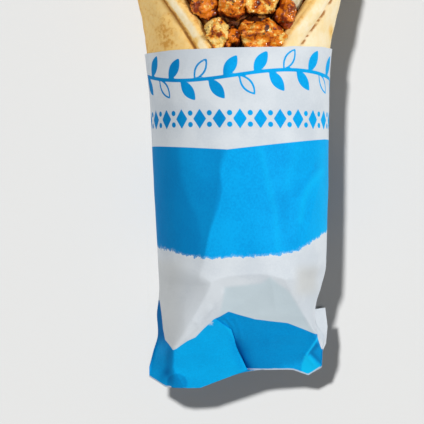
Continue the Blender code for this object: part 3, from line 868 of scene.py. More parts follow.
@dataclass
class Flatbread:
    """The sheet of bread wrapped on the roll, with a rounded hem round the opening."""

    roll: Roll
    finish: BreadFinish = BreadFinish()
    columns: int = 290
    hem_rise: float = 1.1
    hem_proud: float = 1.2
    crease_fade: float = 1.6
    beside_hem: float = 0.9
    rim_y: float = 35.8
    clear_start: float = 3.0
    clear_length: float = 9.0
    edge_bulge: float = 1.3
    edge_points: int = 4
    seam_gap: float = 0.7
    tip_gap: float = 0.03
    tip_length: float = 47.0
    tip_rows: int = 74
    shown_rows: int = 46
    hidden_rows: int = 9
    row_gap: float = 0.75
    under_rim: tuple[float, float] = (6.0, 12.0)
    end_rows: int = 8
    toasted: tuple[Patch, ...] = (
        Patch(-31.4, 42.6, 2.6, 4.2, 1.36),
        Patch(-30.2, 38.0, 3.4, 3.6, 1.36),
        Patch(-31.6, 43.5, 5.2, 9.0, 1.12),
        Patch(-18.2, 39.0, 1.9, 2.4, 1.60),
        Patch(38.8, 44.0, 1.2, 3.0, 0.85),
        Patch(-37.0, 58.0, 3.0, 9.0, 0.50),
        Patch(-31.0, 72.0, 4.0, 7.0, 0.80),
        Patch(36.0, 66.0, 2.4, 5.0, 0.60),
        Patch(31.0, 84.0, 3.0, 6.0, 0.75),
        Patch(-40.0, 84.0, 4.0, 8.0, 0.65),
    )
    left_crease: Knots = kept({
        34: 1.0, 39: 0.95, 42: 0.62, 47: 0.58, 50: 0.85, 54: 1.0, 62: 0.7, 72: 0.95, 84: 0.6, 96: 0.8,
    })
    dashes: Line = (
        (38.6, 1.1), (41.3, 0.6), (44.8, 2.1), (47.9, 0.6), (50.6, 1.9), (56.8, 2.0), (61.0, 1.0),
        (65.8, 2.1), (71.5, 1.2), (77.0, 1.9), (84.0, 1.4), (90.0, 1.7), (96.5, 1.2), (101.0, 1.4),
    )
    between_dashes: float = 0.22

    def clear_of_rim(self, y: Array) -> Array:
        """0 at the paper's rim, rising to 1 past it."""
        return np.clip((y - self.rim_y - self.clear_start) / self.clear_length, 0, 1)

    def stations(self) -> tuple[Array, Array]:
        """Places along the sheet from its tip to its closed end, and how far each is drawn in.

        Returns:
            The places and the shares.
        """
        tip = self.roll.centre_y + self.roll.half_length - self.tip_gap
        near = tip - self.tip_length * (1 - np.cos(np.linspace(0, 1, self.tip_rows) * math.pi / 2))
        shown = np.linspace(near[-1] - self.row_gap, self.rim_y - self.under_rim[0], self.shown_rows)
        hidden = np.linspace(self.rim_y - self.under_rim[1], self.roll.end_y, self.hidden_rows)
        end, share = self.roll.closed_end(self.end_rows)
        plain = np.concatenate([near, shown, hidden])
        return np.concatenate([plain, end]), np.concatenate([np.ones(len(plain)), share])

    def outer_offset(self, psi: Array, y: Array, distance: Array) -> Array:
        """The outer face, measured from the roll's: a half-round hem, a crease, and then the plain sheet.

        Args:
            psi: The angle from the middle of the back.
            y: The place along the roll.
            distance: The distance from the sheet's outline.

        Returns:
            The offsets.
        """
        share = self.roll.hem_share(psi, np.maximum(distance, 0))
        bead = np.sqrt(np.maximum(0, 1 - (2 * np.minimum(share, 1) - 1) ** 2)) ** 0.8
        hem = -self.hem_rise + (self.hem_rise + self.hem_proud * self.clear_of_rim(y)) * bead
        past = np.maximum(distance - self.roll.hem_span(psi), 0)
        return np.where(share < 1, hem, -self.hem_rise * np.exp(-past / self.crease_fade))

    def relief(self, points: Array, y: Array, share: Array) -> Array:
        """The bread's waves and blisters, none under the paper: layered noise, and bumps along the hem.

        Args:
            points: The plain surface.
            y: The place along the roll.
            share: The place across the hem.

        Returns:
            The offsets.
        """
        shown = smooth_step(self.rim_y - 1, self.rim_y + 7, y)
        waves = 0.55 * layered_noise(points, 16, 3) + 0.16 * layered_noise(points, 4.2, 5)
        blister = 0.5 * np.maximum(0, lattice_noise(points, 6.5, 9) - 0.35)
        knots = 0.35 * lattice_noise(points, 5.0, 11) * np.clip(1.6 - share, 0, 1)
        return shown * (waves + blister + knots)

    def shape(self) -> Shape:
        """The closed sheet: its outer face, its round edge, its inner face and the edge on the other side.

        Returns:
            The shape.
        """
        y, shrink = self.stations()
        roll = self.roll
        along = np.clip((y - roll.centre_y) / roll.half_length, 0, 1)
        widest = math.pi - self.seam_gap / roll.wrap_radius
        span = np.minimum(roll.half_angle * np.sqrt(1 - along**2), widest)
        spread = np.linspace(-1, 1, self.columns)
        spread = spread * (1 + 0.3 * (1 - spread**2))
        psi = span[:, None] * spread
        rows = np.broadcast_to(y[:, None], psi.shape)
        middle = roll.surface(math.pi + roll.turn + psi, rows, shrink[:, None])
        normal = normals_of(middle)
        distance = roll.edge_distance(psi, rows)
        share = roll.hem_share(psi, np.maximum(distance, 0))
        tuck = roll.tuck(rows)
        offset = self.outer_offset(psi, rows, distance) + self.relief(middle, rows, share) + tuck
        outer = middle + normal * offset[..., None]
        outer[..., 2] = np.maximum(outer[..., 2], 0.1)
        below = roll.inner_offset(psi, distance) + 0.3 * layered_noise(middle, 6, 8) + tuck
        inner = middle + normal * below[..., None]
        loops = [outer, self.round_edge(outer, inner, -1), inner[:, ::-1], self.round_edge(inner, outer, 0)]
        grid = np.concatenate(loops, axis=1)
        size = grid.shape[1]
        far = (len(y) - 1) * size
        faces = [ring_quads(len(y), size)]
        half = size // 2
        i = np.arange(half - 1)
        for first, flip in ((0, False), (far, True)):
            facing = first + size - 2 - i
            cap = np.stack([first + i, first + i + 1, facing - 1, facing], axis=-1)
            faces.append(cap[:, ::-1] if flip else cap)
        beside = self.beside_hem * self.clear_of_rim(rows) * (psi < 0)
        past = distance - roll.hem_span(psi) - beside
        hem = self.crease(psi, rows)
        # Toasted tan with painted shade and highlight, kept at the points.
        toast_and_painted_light = self.toasting_and_shade(outer) + self.hem_toast_and_painted_light(psi, share)
        values = {"toast_and_painted_light": (toast_and_painted_light, toast_and_painted_light), "crease": (hem, hem * 0), "past": (past, past * 0 - 9)}
        return Shape(grid.reshape(-1, 3), faces, {name: self.carried(*pair) for name, pair in values.items()})

    def carried(self, above: Array, under: Array) -> Array:
        """Values laid out as the points are: the outer face, one edge, the inner face and the other edge."""
        edges = [np.repeat(side, self.edge_points, axis=1) for side in (above[:, -1:], above[:, :1])]
        return np.concatenate([above, edges[0], under[:, ::-1], edges[1]], axis=1).reshape(-1)

    def round_edge(self, start: Array, end: Array, column: int) -> Array:
        """Points of a half circle from one face's edge to the other's, bulging past the edge.

        Args:
            start: The face that the arc leaves.
            end: The face that it reaches.
            column: Which edge.

        Returns:
            The points for each station.
        """
        a, b = start[:, column], end[:, column]
        beside = start[:, -2] if column == -1 else start[:, 1]
        turn = np.linspace(0, math.pi, self.edge_points + 2)[1:-1]
        share = (1 - np.cos(turn)) / 2
        bulge = self.edge_bulge * np.sin(turn)
        return a[:, None] + (b - a)[:, None] * share[:, None] + unit(a - beside)[:, None] * bulge[:, None]

    def crease(self, psi: Array, y: Array) -> Array:
        """How dark the crease behind the hem is: all along on the left, and in dashes on the right.

        Args:
            psi: The angle from the middle of the back.
            y: The place along the roll.

        Returns:
            The darkness, 0 to 1.
        """
        dashed = np.full(y.shape, self.between_dashes)
        for place, reach in self.dashes:
            dashed = np.maximum(dashed, bell(y - place, reach))
        return np.where(psi > 0, through(self.left_crease, y), dashed)

    def hem_toast_and_painted_light(self, psi: Array, share: Array) -> Array:
        """How toasted the hem is, with painted light: a painted highlight along its middle, and darker towards
        both of its sides as toasted colour with painted shade, most on the left.

        Args:
            psi: The angle from the middle of the back.
            share: The place across the hem.

        Returns:
            How toasted it is with the painted light, which may be below 0.
        """
        left = smooth_step(-0.5, 0.5, psi)
        # Toasted colour with painted shade beside the crease, on the left hem only.
        behind = 0.85 * bell(share - 0.92, 0.16) * left
        # Toasted colour with painted shade along the inner edge, more on the right hem.
        inside = (0.25 + 0.40 * (1 - left)) * bell(share - 0.02, 0.16)
        # A painted highlight along the hem's crown, more on the left hem.
        pale = -(0.35 + 0.55 * left) * bell(share - 0.52, 0.24)
        return np.where(share < 1.6, behind + inside + pale, 0)

    def toasting_and_shade(self, points: Array) -> Array:
        """How toasted the bread is, with painted shade: soft oval patches at known places, weak noise
        elsewhere, and painted shade towards the left side and along the left flank.

        Args:
            points: The outer face.

        Returns:
            How toasted it is with the painted shade, 0 to about 1.6.
        """
        x, y, z = np.moveaxis(points, -1, 0)
        # Weak toasted noise, and painted shade that grows towards the left side.
        amount = 0.22 * np.maximum(0, layered_noise(points, 22, 31)) + 0.56 * smooth_step(4, -14, x) + 0.06
        # Painted shade in a band along the left flank.
        amount += 0.45 * bell(z - 33.0, 2.6) * (x < 0)
        for patch in self.toasted:
            amount = np.maximum(amount, patch.at(x, y) * (z > 20))
        return amount

    def build(self) -> None:
        """Makes the piece in place of its solid."""
        piece = self.shape().build("flatbread_sheet", self.finish.make(), "bread")
        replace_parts(piece, "flatbread")


class Motif(Enum):
    """The shapes of the printed pattern."""

    LEAF = "a filled leaf"
    OUTLINE = "a leaf drawn as a line"
    DOT = "a disc"
    LOZENGE = "a lozenge"


@dataclass(frozen=True)
class Mark:
    """One printed shape: where it starts or is centred, its turn, its length, its width and half its line."""

    motif: Motif
    u: float
    v: float
    turn: float
    length: float
    width: float
    line: float = 0.45

    def inside(self, u: Array, v: Array) -> Array:
        """The distance inside the shape: a leaf's width is a sine of the place along it.

        Args:
            u: Places round the sleeve.
            v: Places along it.

        Returns:
            The distances, negative outside.
        """
        du, dv = u - self.u, v - self.v
        if self.motif is Motif.DOT:
            return self.length / 2 - np.hypot(du, dv)
        if self.motif is Motif.LOZENGE:
            half, tall = self.length / 2, self.width / 2
            return (1 - np.abs(du) / half - np.abs(dv) / tall) * half * tall / math.hypot(half, tall)
        a = self.turn * DEGREE
        s = du * math.cos(a) + dv * math.sin(a)
        t = -du * math.sin(a) + dv * math.cos(a)
        wide = self.width / 2 * np.sin(math.pi * np.clip(s / self.length, 0, 1)) ** 0.8
        beyond = np.maximum(np.maximum(-s, s - self.length), 0)
        leaf = wide - np.abs(t) - beyond
        return self.line - np.abs(leaf - self.line) if self.motif is Motif.OUTLINE else leaf


@dataclass(frozen=True)
class SleevePrint:
    """The pattern on the white part of the sleeve: a leafy sprig above a row of small shapes."""

    stem_v: float = 24.5
    stem_swing: float = 2.2
    stem_length: float = 15.0
    stem_width: float = 1.5
    stem_end: float = 52.5
    leaves: int = 8
    leaf_step: float = 6.4
    leaf_size: tuple[float, float] = (10.6, 4.9)
    leaf_turns: tuple[float, float] = (-52.0, 57.0)
    row_v: float = 6.2
    row_step: float = 8.6
    lozenges: int = 7
    lozenge_size: tuple[float, float] = (5.8, 8.4)
    dot_size: float = 2.3
    dot_rise: float = 2.4

    def stem(self, u: Array) -> Array:
        """The stem's height: a slow wave."""
        return self.stem_v + self.stem_swing * np.sin(u / self.stem_length)

    def marks(self) -> list[Mark]:
        """The leaves along the stem, to alternate sides, and the row of discs and lozenges.

        Returns:
            The marks.
        """
        marks = []
        for k in range(-self.leaves, self.leaves + 1):
            u = k * self.leaf_step
            kind = Motif.OUTLINE if k % 3 == 0 else Motif.LEAF
            stem = float(self.stem(np.array(u)))
            marks.append(Mark(kind, u, stem, self.leaf_turns[k % 2], *self.leaf_size))
        for k in range(-self.lozenges, self.lozenges + 1):
            u = k * self.row_step
            marks.append(Mark(Motif.LOZENGE, u, self.row_v, 0, *self.lozenge_size))
            for rise in (self.dot_rise, -self.dot_rise):
                place = (u + self.row_step / 2, self.row_v + rise)
                marks.append(Mark(Motif.DOT, *place, 0, self.dot_size, self.dot_size))
        return marks

    def inside(self, u: Array, v: Array) -> Array:
        """The distance inside the pattern, the largest over its shapes.

        Args:
            u: Places round the sleeve.
            v: Places along it.

        Returns:
            The distances, negative outside.
        """
        best = self.stem_width / 2 - np.abs(v - self.stem(u))
        best = np.where(np.abs(u) > self.stem_end, -9, best)
        for mark in self.marks():
            best = np.maximum(best, mark.inside(u, v))
        return best


@dataclass(frozen=True)
class PaintedStreak:
    """A soft streak of painted shade, or of painted highlight where its tone is below 0: its points over the
    ground, its tone and its reach to either side.
    """

    line: Line
    tone: float
    reach: float


@dataclass(frozen=True)
class Crease:
    """A fold line in the paper: its points over the ground, its height and how wide it fades."""

    line: Line
    height: float
    fade: float


@dataclass
class PaperSleeve:
    """The paper tube, its folded end and the ear that stands out beside it."""

    roll: Roll
    finish: PaperFinish = PaperFinish()
    pattern: SleevePrint = SleevePrint()
    front_columns: int = 214
    back_columns: int = 84
    tube_rows: int = 150
    tail_rows: int = 124
    end_gap: float = 0.3
    inner_steps: tuple[float, ...] = (4, 8, 12, 15, 18, 21, 25, 30, 60)
    inner_lift: float = 0.35
    first_lift: float = 0.5
    gap: float = 0.95
    wall: float = 0.28
    edge_y: float = 35.8
    edge_slant: float = 0.03
    seam: float = 1.1
    tail_left: Knots = kept({-50: -35.0, -70.7: -34.6, -78: -35.4, -87: -35.0, -95: -36.9, -103.5: -38.7})
    tail_right: Knots = kept({
        -50: 37.2, -60: 36.6, -66: 35.2, -73: 33.3, -85: 33.2, -92.6: 36.3, -99.7: 35.7,
    })
    tail_end: Knots = kept({
        -38.7: -103.4, -31.6: -107.8, -16.8: -108.2, 3.0: -100.3, 23.2: -100.6, 29.8: -103.3, 35.7: -99.6,
    })
    side_height: Knots = kept({-52: 31.0, -70: 31.0, -90: 30.0, -109: 29.0})
    shoulders: tuple[Point, ...] = ((-7.0, -63.3, 61.0), (12.1, -58.7, 61.0))
    apex: Point = (-4.7, -74.6, 52.0)
    ridge_left: tuple[float, float] = (-27.8, -91.2)
    ridge_right: tuple[float, float] = (33.1, -85.1)
    foot: Point = (-16.8, -108.2, 33.0)
    foot_left: Point = (-24.5, -108.0, 33.0)
    corner_left: Point = (-38.7, -103.5, 28.5)
    pleat_foot: Point = (3.0, -100.3, 29.0)
    corner_right: Point = (35.7, -99.7, 22.0)
    corner_inner: tuple[float, float] = (28.1, -93.4)
    pleat: Knots = kept({-50: -4.0, -70: -7.5, -77.0: -10.9, -82.3: -3.8, -90.4: -1.3, -100.3: 3.0})
    pleat_angle: float = -0.10
    pleat_valley: float = 2.2
    flank_left: Knots = kept({-91.2: -27.8, -78.8: -18.2, -63.3: -7.0})
    flank_right: Knots = kept({-83.6: 31.6, -58.7: 12.1})
    flank_bows: tuple[float, float] = (1.6, 2.2)
    flank_starts: Line = ((-55.0, -67.0), (-54.0, -62.0))
    foot_outline: Line = (
        (-60.0, -70.4), (-34.1, -70.4), (-31.6, -87.0), (-28.0, -90.9), (-22.3, -87.1), (-18.8, -85.5),
        (-15.3, -81.7), (-11.0, -77.6), (-8.4, -76.5), (-4.9, -74.5), (6.2, -77.8), (20.3, -79.9),
        (32.8, -84.8), (35.2, -91.6), (60.0, -93.0), (60.0, -130.0), (-60.0, -130.0),
    )
    band_top: Knots = kept({-36: -4.9, -5.5: -6.7, 36: -1.9})
    band_foot: Knots = kept({-36: -47.6, -15.2: -52.1, -1.9: -51.1, 11.3: -51.1, 22.3: -49.3, 36.9: -41.1})
    back_top: Knots = kept({0: -1.9, 1: -4.9})
    back_foot: Knots = kept({0: -41.1, 1: -47.6})
    back_tail: Knots = kept({0: -91.0, 1: -71.0})
    motif_end: float = -3.0
    scuff: Patch = Patch(-12.6, -79.4, 2.6, 1.5, 0.85)
    # A painted shadow, yellowish grey, on the right end of the tube.
    right_painted_shadow: Patch = Patch(28.0, -61.5, 5.0, 6.5, 0.6)
    # A darker round patch low on the left of the foot, then the line left of which the foot is painted darker
    # as shade.
    darker_disc: tuple[float, float, float, float] = (-26.8, -106.0, 4.4, 4.6)
    corner_edge: Knots = kept({-107.0: -24.5, -99.0: -28.5, -90.9: -28.0})
    creases: tuple[Crease, ...] = (
        Crease(((-7.9, -9.0), (-8.9, -22.3), (-11.5, -35.6), (-14.7, -51.7), (-17.0, -60.0)), 0.5, 3.5),
        Crease(((8.5, -8.0), (12.0, -20.0), (14.5, -34.0), (14.0, -48.0)), 0.25, 3.0),
        Crease(((31.0, -12.0), (26.5, -24.0), (23.5, -42.0)), 0.4, 2.2),
        Crease(((33.5, -20.0), (29.0, -36.0), (25.5, -48.0)), 0.35, 2.0),
        Crease(((12.3, -59.5), (14.0, -66.0), (15.0, -74.0)), 0.3, 2.5),
        Crease(((-18.2, -78.8), (-11.0, -72.0), (-7.6, -66.5)), 0.5, 1.2),
        Crease(((-27.0, -90.0), (-18.2, -80.8), (-12.5, -73.5)), 0.45, 1.0),
        Crease(((-6.0, -77.2), (-3.2, -80.5), (-2.0, -86.0)), 0.45, 0.7),
        Crease(((-2.3, -77.2), (-0.2, -82.0), (0.6, -86.5)), 0.4, 0.8),
        Crease(((32.6, -85.2), (30.4, -89.4), (28.1, -93.4)), 0.5, 0.9),
        Crease(((28.1, -93.4), (31.9, -98.2)), 0.3, 0.9),
        Crease(((-28.0, -90.9), (-28.5, -99.0), (-26.0, -107.0)), 0.5, 2.0),
        Crease(((-30.0, -60.0), (-31.0, -74.0), (-30.5, -86.0)), 0.3, 2.0),
        Crease(((-21.0, 33.0), (-24.0, 24.0), (-22.0, 12.0)), 0.22, 2.6),
        Crease(((20.0, -46.5), (21.5, -56.5), (26.5, -70.0), (31.6, -83.0)), 0.45, 2.0),
    )
    # The bend line, and where the painted shade on the band's left is deepest.
    bend_x: Knots = kept({-6.4: -5.6, -15.6: -8.3, -23.1: -7.6, -31.5: -9.4, -40.5: -12.5, -51.1: -14.9})
    deepest_painted_shade_x: Knots = kept({-6: -25.5, -17.6: -25.1, -26: -22.5, -35.2: -18.2, -52: -17.0})
    # Painted shade where a streak's tone is above 0 and painted highlight where it is below 0, on the band.
    painted_streaks: tuple[PaintedStreak, ...] = (
        PaintedStreak(((7.8, -5.0), (10.9, -17.8), (14.6, -33.0), (15.4, -48.0)), -0.20, 1.5),
        PaintedStreak(((18.0, -27.0), (18.8, -40.0)), 0.10, 2.2),
        PaintedStreak(((31.6, -14.0), (26.7, -20.1), (22.9, -25.6)), 0.16, 1.3),
        PaintedStreak(((34.6, -15.5), (28.5, -22.2), (26.2, -28.0), (25.0, -36.0)), -0.28, 1.4),
        PaintedStreak(((29.5, -28.0), (28.0, -36.0)), 0.08, 1.4),
        PaintedStreak(((24.0, -6.0), (19.0, -22.0)), -0.14, 2.4),
        PaintedStreak(((35.5, -8.0), (35.0, -42.0)), -0.22, 2.6),
        PaintedStreak(((-19.0, -7.0), (-15.0, -18.0)), -0.10, 5.0),
        PaintedStreak(((4.0, -42.0), (8.0, -50.0)), 0.07, 4.0),
    )
    bend_side: float = -35.0
    bend_depth: float = 0.6
    crown_above: float = 5.5
    crown_reach: float = 28.0
    sharp_fold: float = 50 * DEGREE
    # Outline of the fold's central facet, which gets a blue-grey painted shade.
    painted_shade_outline: Line = (
        (-6.6, -63.9), (8.7, -62.1), (12.3, -59.5), (21.0, -66.0), (32.3, -85.0), (20.3, -80.5), (6.2, -78.0),
        (-4.9, -75.0), (-9.0, -76.8),
    )
    # Outlines of a painted shade facet and a painted highlight facet at the foot's right corner.
    corner_painted_shade: Line = (
        (32.7, -85.7), (37.5, -90.0), (37.5, -99.5), (35.2, -99.2), (32.7, -96.4), (28.0, -93.0),
    )
    corner_painted_highlight: Line = (
        (27.9, -94.4), (30.4, -93.8), (36.0, -99.2), (30.0, -104.0), (26.6, -102.4), (27.0, -98.0),
    )
    # Painted shade and painted highlight on the blue foot.
    tail_painted_streaks: tuple[PaintedStreak, ...] = (
        PaintedStreak(((33.3, -86.4), (28.1, -94.4)), -1.3, 0.45),
        PaintedStreak(((33.0, -89.6), (30.6, -92.6), (34.6, -98.0)), 0.48, 1.3),
        PaintedStreak(((20.0, -100.5), (27.0, -99.0)), -0.42, 2.6),
        PaintedStreak(((-29.6, -91.5), (-30.3, -97.0), (-31.0, -101.0)), 0.46, 1.9),
        PaintedStreak(((-33.0, -104.0), (-31.0, -101.5), (-30.0, -104.0)), 0.30, 2.4),
        PaintedStreak(((-3.5, -84.0), (-1.8, -92.0), (0.5, -98.0)), 0.22, 1.6),
        PaintedStreak(((-6.5, -78.5), (-4.6, -82.5), (-2.0, -87.0)), -0.40, 0.6),
    )
    ear_left: Knots = kept({0: 33.0, 0.35: 33.0, 1: 34.2})
    ear_right: Knots = kept({0: 36.9, 0.42: 37.9, 0.8: 37.2, 1: 35.4})
    ear_top: float = -74.2
    ear_length: float = 19.0
    ear_height: float = 27.8
    ear_bow: float = 2.0
    ear_hidden: float = 2.5
    ear_wall: float = 0.3
    ear_grid: tuple[int, int] = (26, 40)

    def flank_height(self, x: Array, y: Array, front: Array, side: Array, right: bool) -> Array:
        """A flank of the folded end's front, which falls in a bow from its crease to its side.

        Args:
            x: Places across.
            y: Places along.
            front: The front's height without it.
            side: The height of the side.
            right: Whether it is the right flank.

        Returns:
            The heights.
        """
        crease = straight(self.flank_right if right else self.flank_left, y)
        crest = plane(*self.shoulders, self.apex)(crease, y)
        edge = through(self.tail_right if right else self.tail_left, y)
        share = np.clip((crease - x) / (crease - edge), 0, 1)
        flank = side + (crest - side) * (1 - share ** self.flank_bows[right])
        blend = smooth_step(*self.flank_starts[right], y)
        return np.where(share > 0, front + (np.minimum(flank, front) - front) * blend, front)

    def flat_top(self, x: Array, y: Array) -> Array:
        """The tube's crown, flattened towards the straight fold between the two shoulders.

        Args:
            x: Places across.
            y: Places along.

        Returns:
            The heights that the tube stays under.
        """
        (ax, ay, az), (bx, by, _) = self.shoulders
        before = ((y - ay) * (bx - ax) - (x - ax) * (by - ay)) / math.hypot(bx - ax, by - ay)
        return az + self.crown_above * smooth_step(0.0, self.crown_reach, before)

    def fold_height(self, x: Array, y: Array) -> Array:
        """The folded end's front: the lowest of the planes of its folds, with a pleat between the lower two.

        Args:
            x: Places across.
            y: Places along.

        Returns:
            The heights.
        """
        centre = plane(*self.shoulders, self.apex)
        right_end = (*self.ridge_right, centre(*self.ridge_right))
        left_end = (*self.ridge_left, centre(*self.ridge_left))
        left = plane(self.apex, left_end, self.foot)
        right = plane(self.apex, right_end, self.pleat_foot)
        side = plane(left_end, self.foot_left, self.corner_left)
        corner = plane(right_end, (*self.corner_inner, right(*self.corner_inner)), self.corner_right)
        past = x - straight(self.pleat, y)
        valley = self.pleat_valley * np.exp(-np.maximum(past, 0) / 3.2) * smooth_step(-83.0, -94.0, y)
        lower = np.minimum(right(x, y) - valley, corner(x, y))
        below = np.where(past > 0.03, np.minimum(lower, left(x, y)), left(x, y))
        return np.minimum(np.minimum(centre(x, y), below), side(x, y))

    def placed(self, x: Array, y: Array) -> Array:
        """Where a row lies: in the folded end the rows spread so that the last one follows the outline.

        Args:
            x: Places across.
            y: The row's own place.

        Returns:
            The places along.
        """
        end_y = self.roll.end_y
        way = np.clip((y - end_y) / (min(self.tail_end.values()) - end_y), 0, 1)
        return np.where(y > end_y, y, end_y + (straight(self.tail_end, x) - end_y) * way)

    def follow_pleat(self, phi: Array, y: Array) -> Array:
        """Angles shifted in the folded end so that one column of the grid runs along the pleat's edge.

        Args:
            phi: The columns' own angles.
            y: The rows' own places.

        Returns:
            The shifted angles.
        """
        row = y[:, :1]
        left, right = through(self.tail_left, row), through(self.tail_right, row)
        middle, half = (left + right) / 2, (right - left) / 2
        x = middle + half * math.sin(self.pleat_angle)
        for _ in range(12):
            x = straight(self.pleat, self.placed(x, row))
        shift = np.arcsin(np.clip((x - middle) / half, -0.9, 0.9)) - self.pleat_angle
        near = bell(phi - self.pleat_angle, 0.55)
        return phi + np.where(row < self.roll.end_y, shift * smooth_step(-50, -66, row), 0) * near

    def plain(self, phi: Array, y: Array) -> Array:
        """The outer face without wrinkles: an oval tube, then the folds and a back that rises to them.

        Args:
            phi: The angle round the sleeve.
            y: The place along it.

        Returns:
            The points.
        """
        roll = self.roll
        in_tube = y > roll.end_y
        width = through(roll.half_width, y) + self.gap
        middle = through(roll.middle, y)
        left = np.where(in_tube, middle - width, through(self.tail_left, y))
        right = np.where(in_tube, middle + width, through(self.tail_right, y))
        x = (left + right) / 2 + (right - left) / 2 * np.sin(phi)
        placed = self.placed(x, y)
        way = np.clip((y - roll.end_y) / (min(self.tail_end.values()) - roll.end_y), 0, 1)
        side = through(self.side_height, placed)
        up = np.cos(phi)
        front = side + (roll.crown + self.gap) * np.abs(up)
        front = -np.logaddexp(-front, -self.flat_top(x, placed))
        front = self.flank_height(x, placed, front, side, right=False)
        front = np.minimum(front, self.fold_height(x, placed))
        front = self.flank_height(x, placed, front, side, right=True)
        belly = np.maximum(side - (roll.belly + self.gap) * np.abs(up), 0)
        thin = front - self.seam * np.minimum(1, 3 * np.abs(up))
        close = np.clip((way - 0.35) / 0.65, 0, 1) ** 1.3
        back = np.minimum(belly * (1 - close) + thin * close, thin)
        return np.stack(np.broadcast_arrays(x, placed, np.where(up >= -1e-9, front, back)), axis=-1)

    def wrinkles(self, points: Array, phi: Array) -> Array:
        """The paper's folds: a crest along each crease, soft waves, and fine crumpling in the folded end.

        Args:
            points: The plain surface.
            phi: The angle round the sleeve.

        Returns:
            The offsets.
        """
        x, y, _ = np.moveaxis(points, -1, 0)
        front = smooth_step(0.0, 0.35, np.cos(phi))
        total = 0.30 * layered_noise(points, 26, 41) + 0.08 * layered_noise(points, 8, 43)
        ridge = through(self.bend_x, y)
        across = np.clip((ridge - x) / (ridge - self.bend_side), 0, 1)
        bent = 4 * across * (1 - across) * smooth_step(-2, -26, y) * smooth_step(-66, -54, y)
        total -= self.bend_depth * front * bent
        for crease in self.creases:
            ragged = line_distance(x, y, crease.line) + 0.25 * lattice_noise(points, 5, 47)
            total += front * crease.height * np.exp(-np.maximum(ragged, 0) / crease.fade)
        tail = smooth_step(-52, -72, y)
        facets = np.abs(lattice_noise(points, 19, 51)) + 0.5 * np.abs(lattice_noise(points, 9, 53))
        total += tail * (0.15 - 0.45 * facets)
        rim = smooth_step(self.edge_y - 1.5, self.edge_y - 12, y)
        return total * (0.25 + 0.75 * rim)

    def columns(self) -> Array:
        """Angles round the sleeve: close together over the front, a pair at the pleat, wider apart below."""
        front = np.linspace(-math.pi / 2, math.pi / 2, self.front_columns - 1, endpoint=False)
        at = int(np.argmin(np.abs(front - self.pleat_angle)))
        front[at] = self.pleat_angle
        front = np.insert(front, at + 1, self.pleat_angle + 0.003)
        back = np.linspace(math.pi / 2, 1.5 * math.pi, self.back_columns, endpoint=False)
        return np.concatenate([front, back])[None, :]

    def shape(self) -> Shape:
        """The closed paper: the outer face, the rim, and the inner face that ends round the bread.

        Returns:
            The shape.
        """
        roll = self.roll
        phi = self.columns()
        edge = self.edge_y + self.edge_slant * through(roll.half_width, self.edge_y) * np.sin(phi)
        edge = edge + 0.18 * lattice_noise(np.stack(np.broadcast_arrays(phi * 9, 0.0, 0.0), axis=-1), 1.4, 61)
        tube = edge + (roll.end_y + self.end_gap - edge) * np.linspace(0, 1, self.tube_rows)[:, None]
        tail = np.linspace(roll.end_y - self.end_gap, min(self.tail_end.values()), self.tail_rows)
        tail = tail[:, None] + np.zeros_like(phi)
        y = np.concatenate([tube, tail])
        turn = self.follow_pleat(phi + np.zeros_like(y), y)
        plain = self.plain(turn, y)
        offset = self.wrinkles(plain, turn)
        outer = plain + normals_of(plain, closed_round=True) * offset[..., None]
        outer[..., 2] = np.where(plain[..., 2] < 0.6, plain[..., 2], np.maximum(outer[..., 2], 0.05))
        end_y, share = roll.closed_end(7, 1.3)
        deep = np.array(self.inner_steps)[:, None]
        inside_y = np.concatenate([edge, edge - deep, end_y[:, None] + np.zeros_like(phi)])
        inside_share = np.concatenate([np.ones(len(deep) + 1), share])[:, None]
        inner = roll.surface(phi + np.zeros_like(inside_y), inside_y, inside_share)
        lift = np.full(inside_y.shape, self.inner_lift) + roll.tuck(inside_y, 3.0)
        lift[0], lift[1] = self.gap - self.wall, self.first_lift
        inner = inner + normals_of(inner, closed_round=True) * lift[..., None]
        inner[..., 2] = np.maximum(inner[..., 2], self.wall)
        across = inner[0] - outer[0]
        reach = np.maximum(np.linalg.norm(across, axis=-1, keepdims=True), self.wall)
        inner[0] = outer[0] + across * self.wall / reach
        size = phi.shape[1]
        start = outer.shape[0] * size
        pole = inner[-1].mean(axis=0)[None]
        points = np.concatenate([outer.reshape(-1, 3), inner[:-1].reshape(-1, 3), pole])
        rings = len(inner) - 1
        i = np.arange(size)
        j = (i + 1) % size
        rim = np.stack([i, j, start + j, start + i], axis=-1)
        faces = [ring_quads(len(outer), size), ring_quads(rings, size, start, flip=True), rim]
        faces.append(fan(start + (rings - 1) * size, size, len(points) - 1, flip=True))
        faces.append(self.foot_cap(start - size))
        values = self.distances(plain, turn, outer)
        inside = np.full(len(points) - start, FAR_OUTSIDE)
        values = {k: np.concatenate([v.reshape(-1), inside]) for k, v in values.items()}
        for name in ("wear", "painted_shade_tint", "painted_shade_and_highlight"):
            values[name][start:] = 0
        return Shape(points, faces, values)

    def foot_cap(self, last: int) -> Array:
        """Closes the folded end between its front and its back, which have different numbers of columns.

        Args:
            last: The last ring's first point.

        Returns:
            Triangles.
        """
        front, back = self.front_columns, self.back_columns
        size = front + back
        upper = np.arange(front)
        beside = (size - upper * back // front) % size
        beyond = size - (upper + 1) * back // front
        across = np.stack([upper + 1, beside, upper], axis=-1)[beside != upper]
        stepped = (beside % size != beyond) & (beyond != upper + 1)
        behind = np.stack([beyond, beside, upper + 1], axis=-1)[stepped]
        return np.concatenate([across, behind]) + last

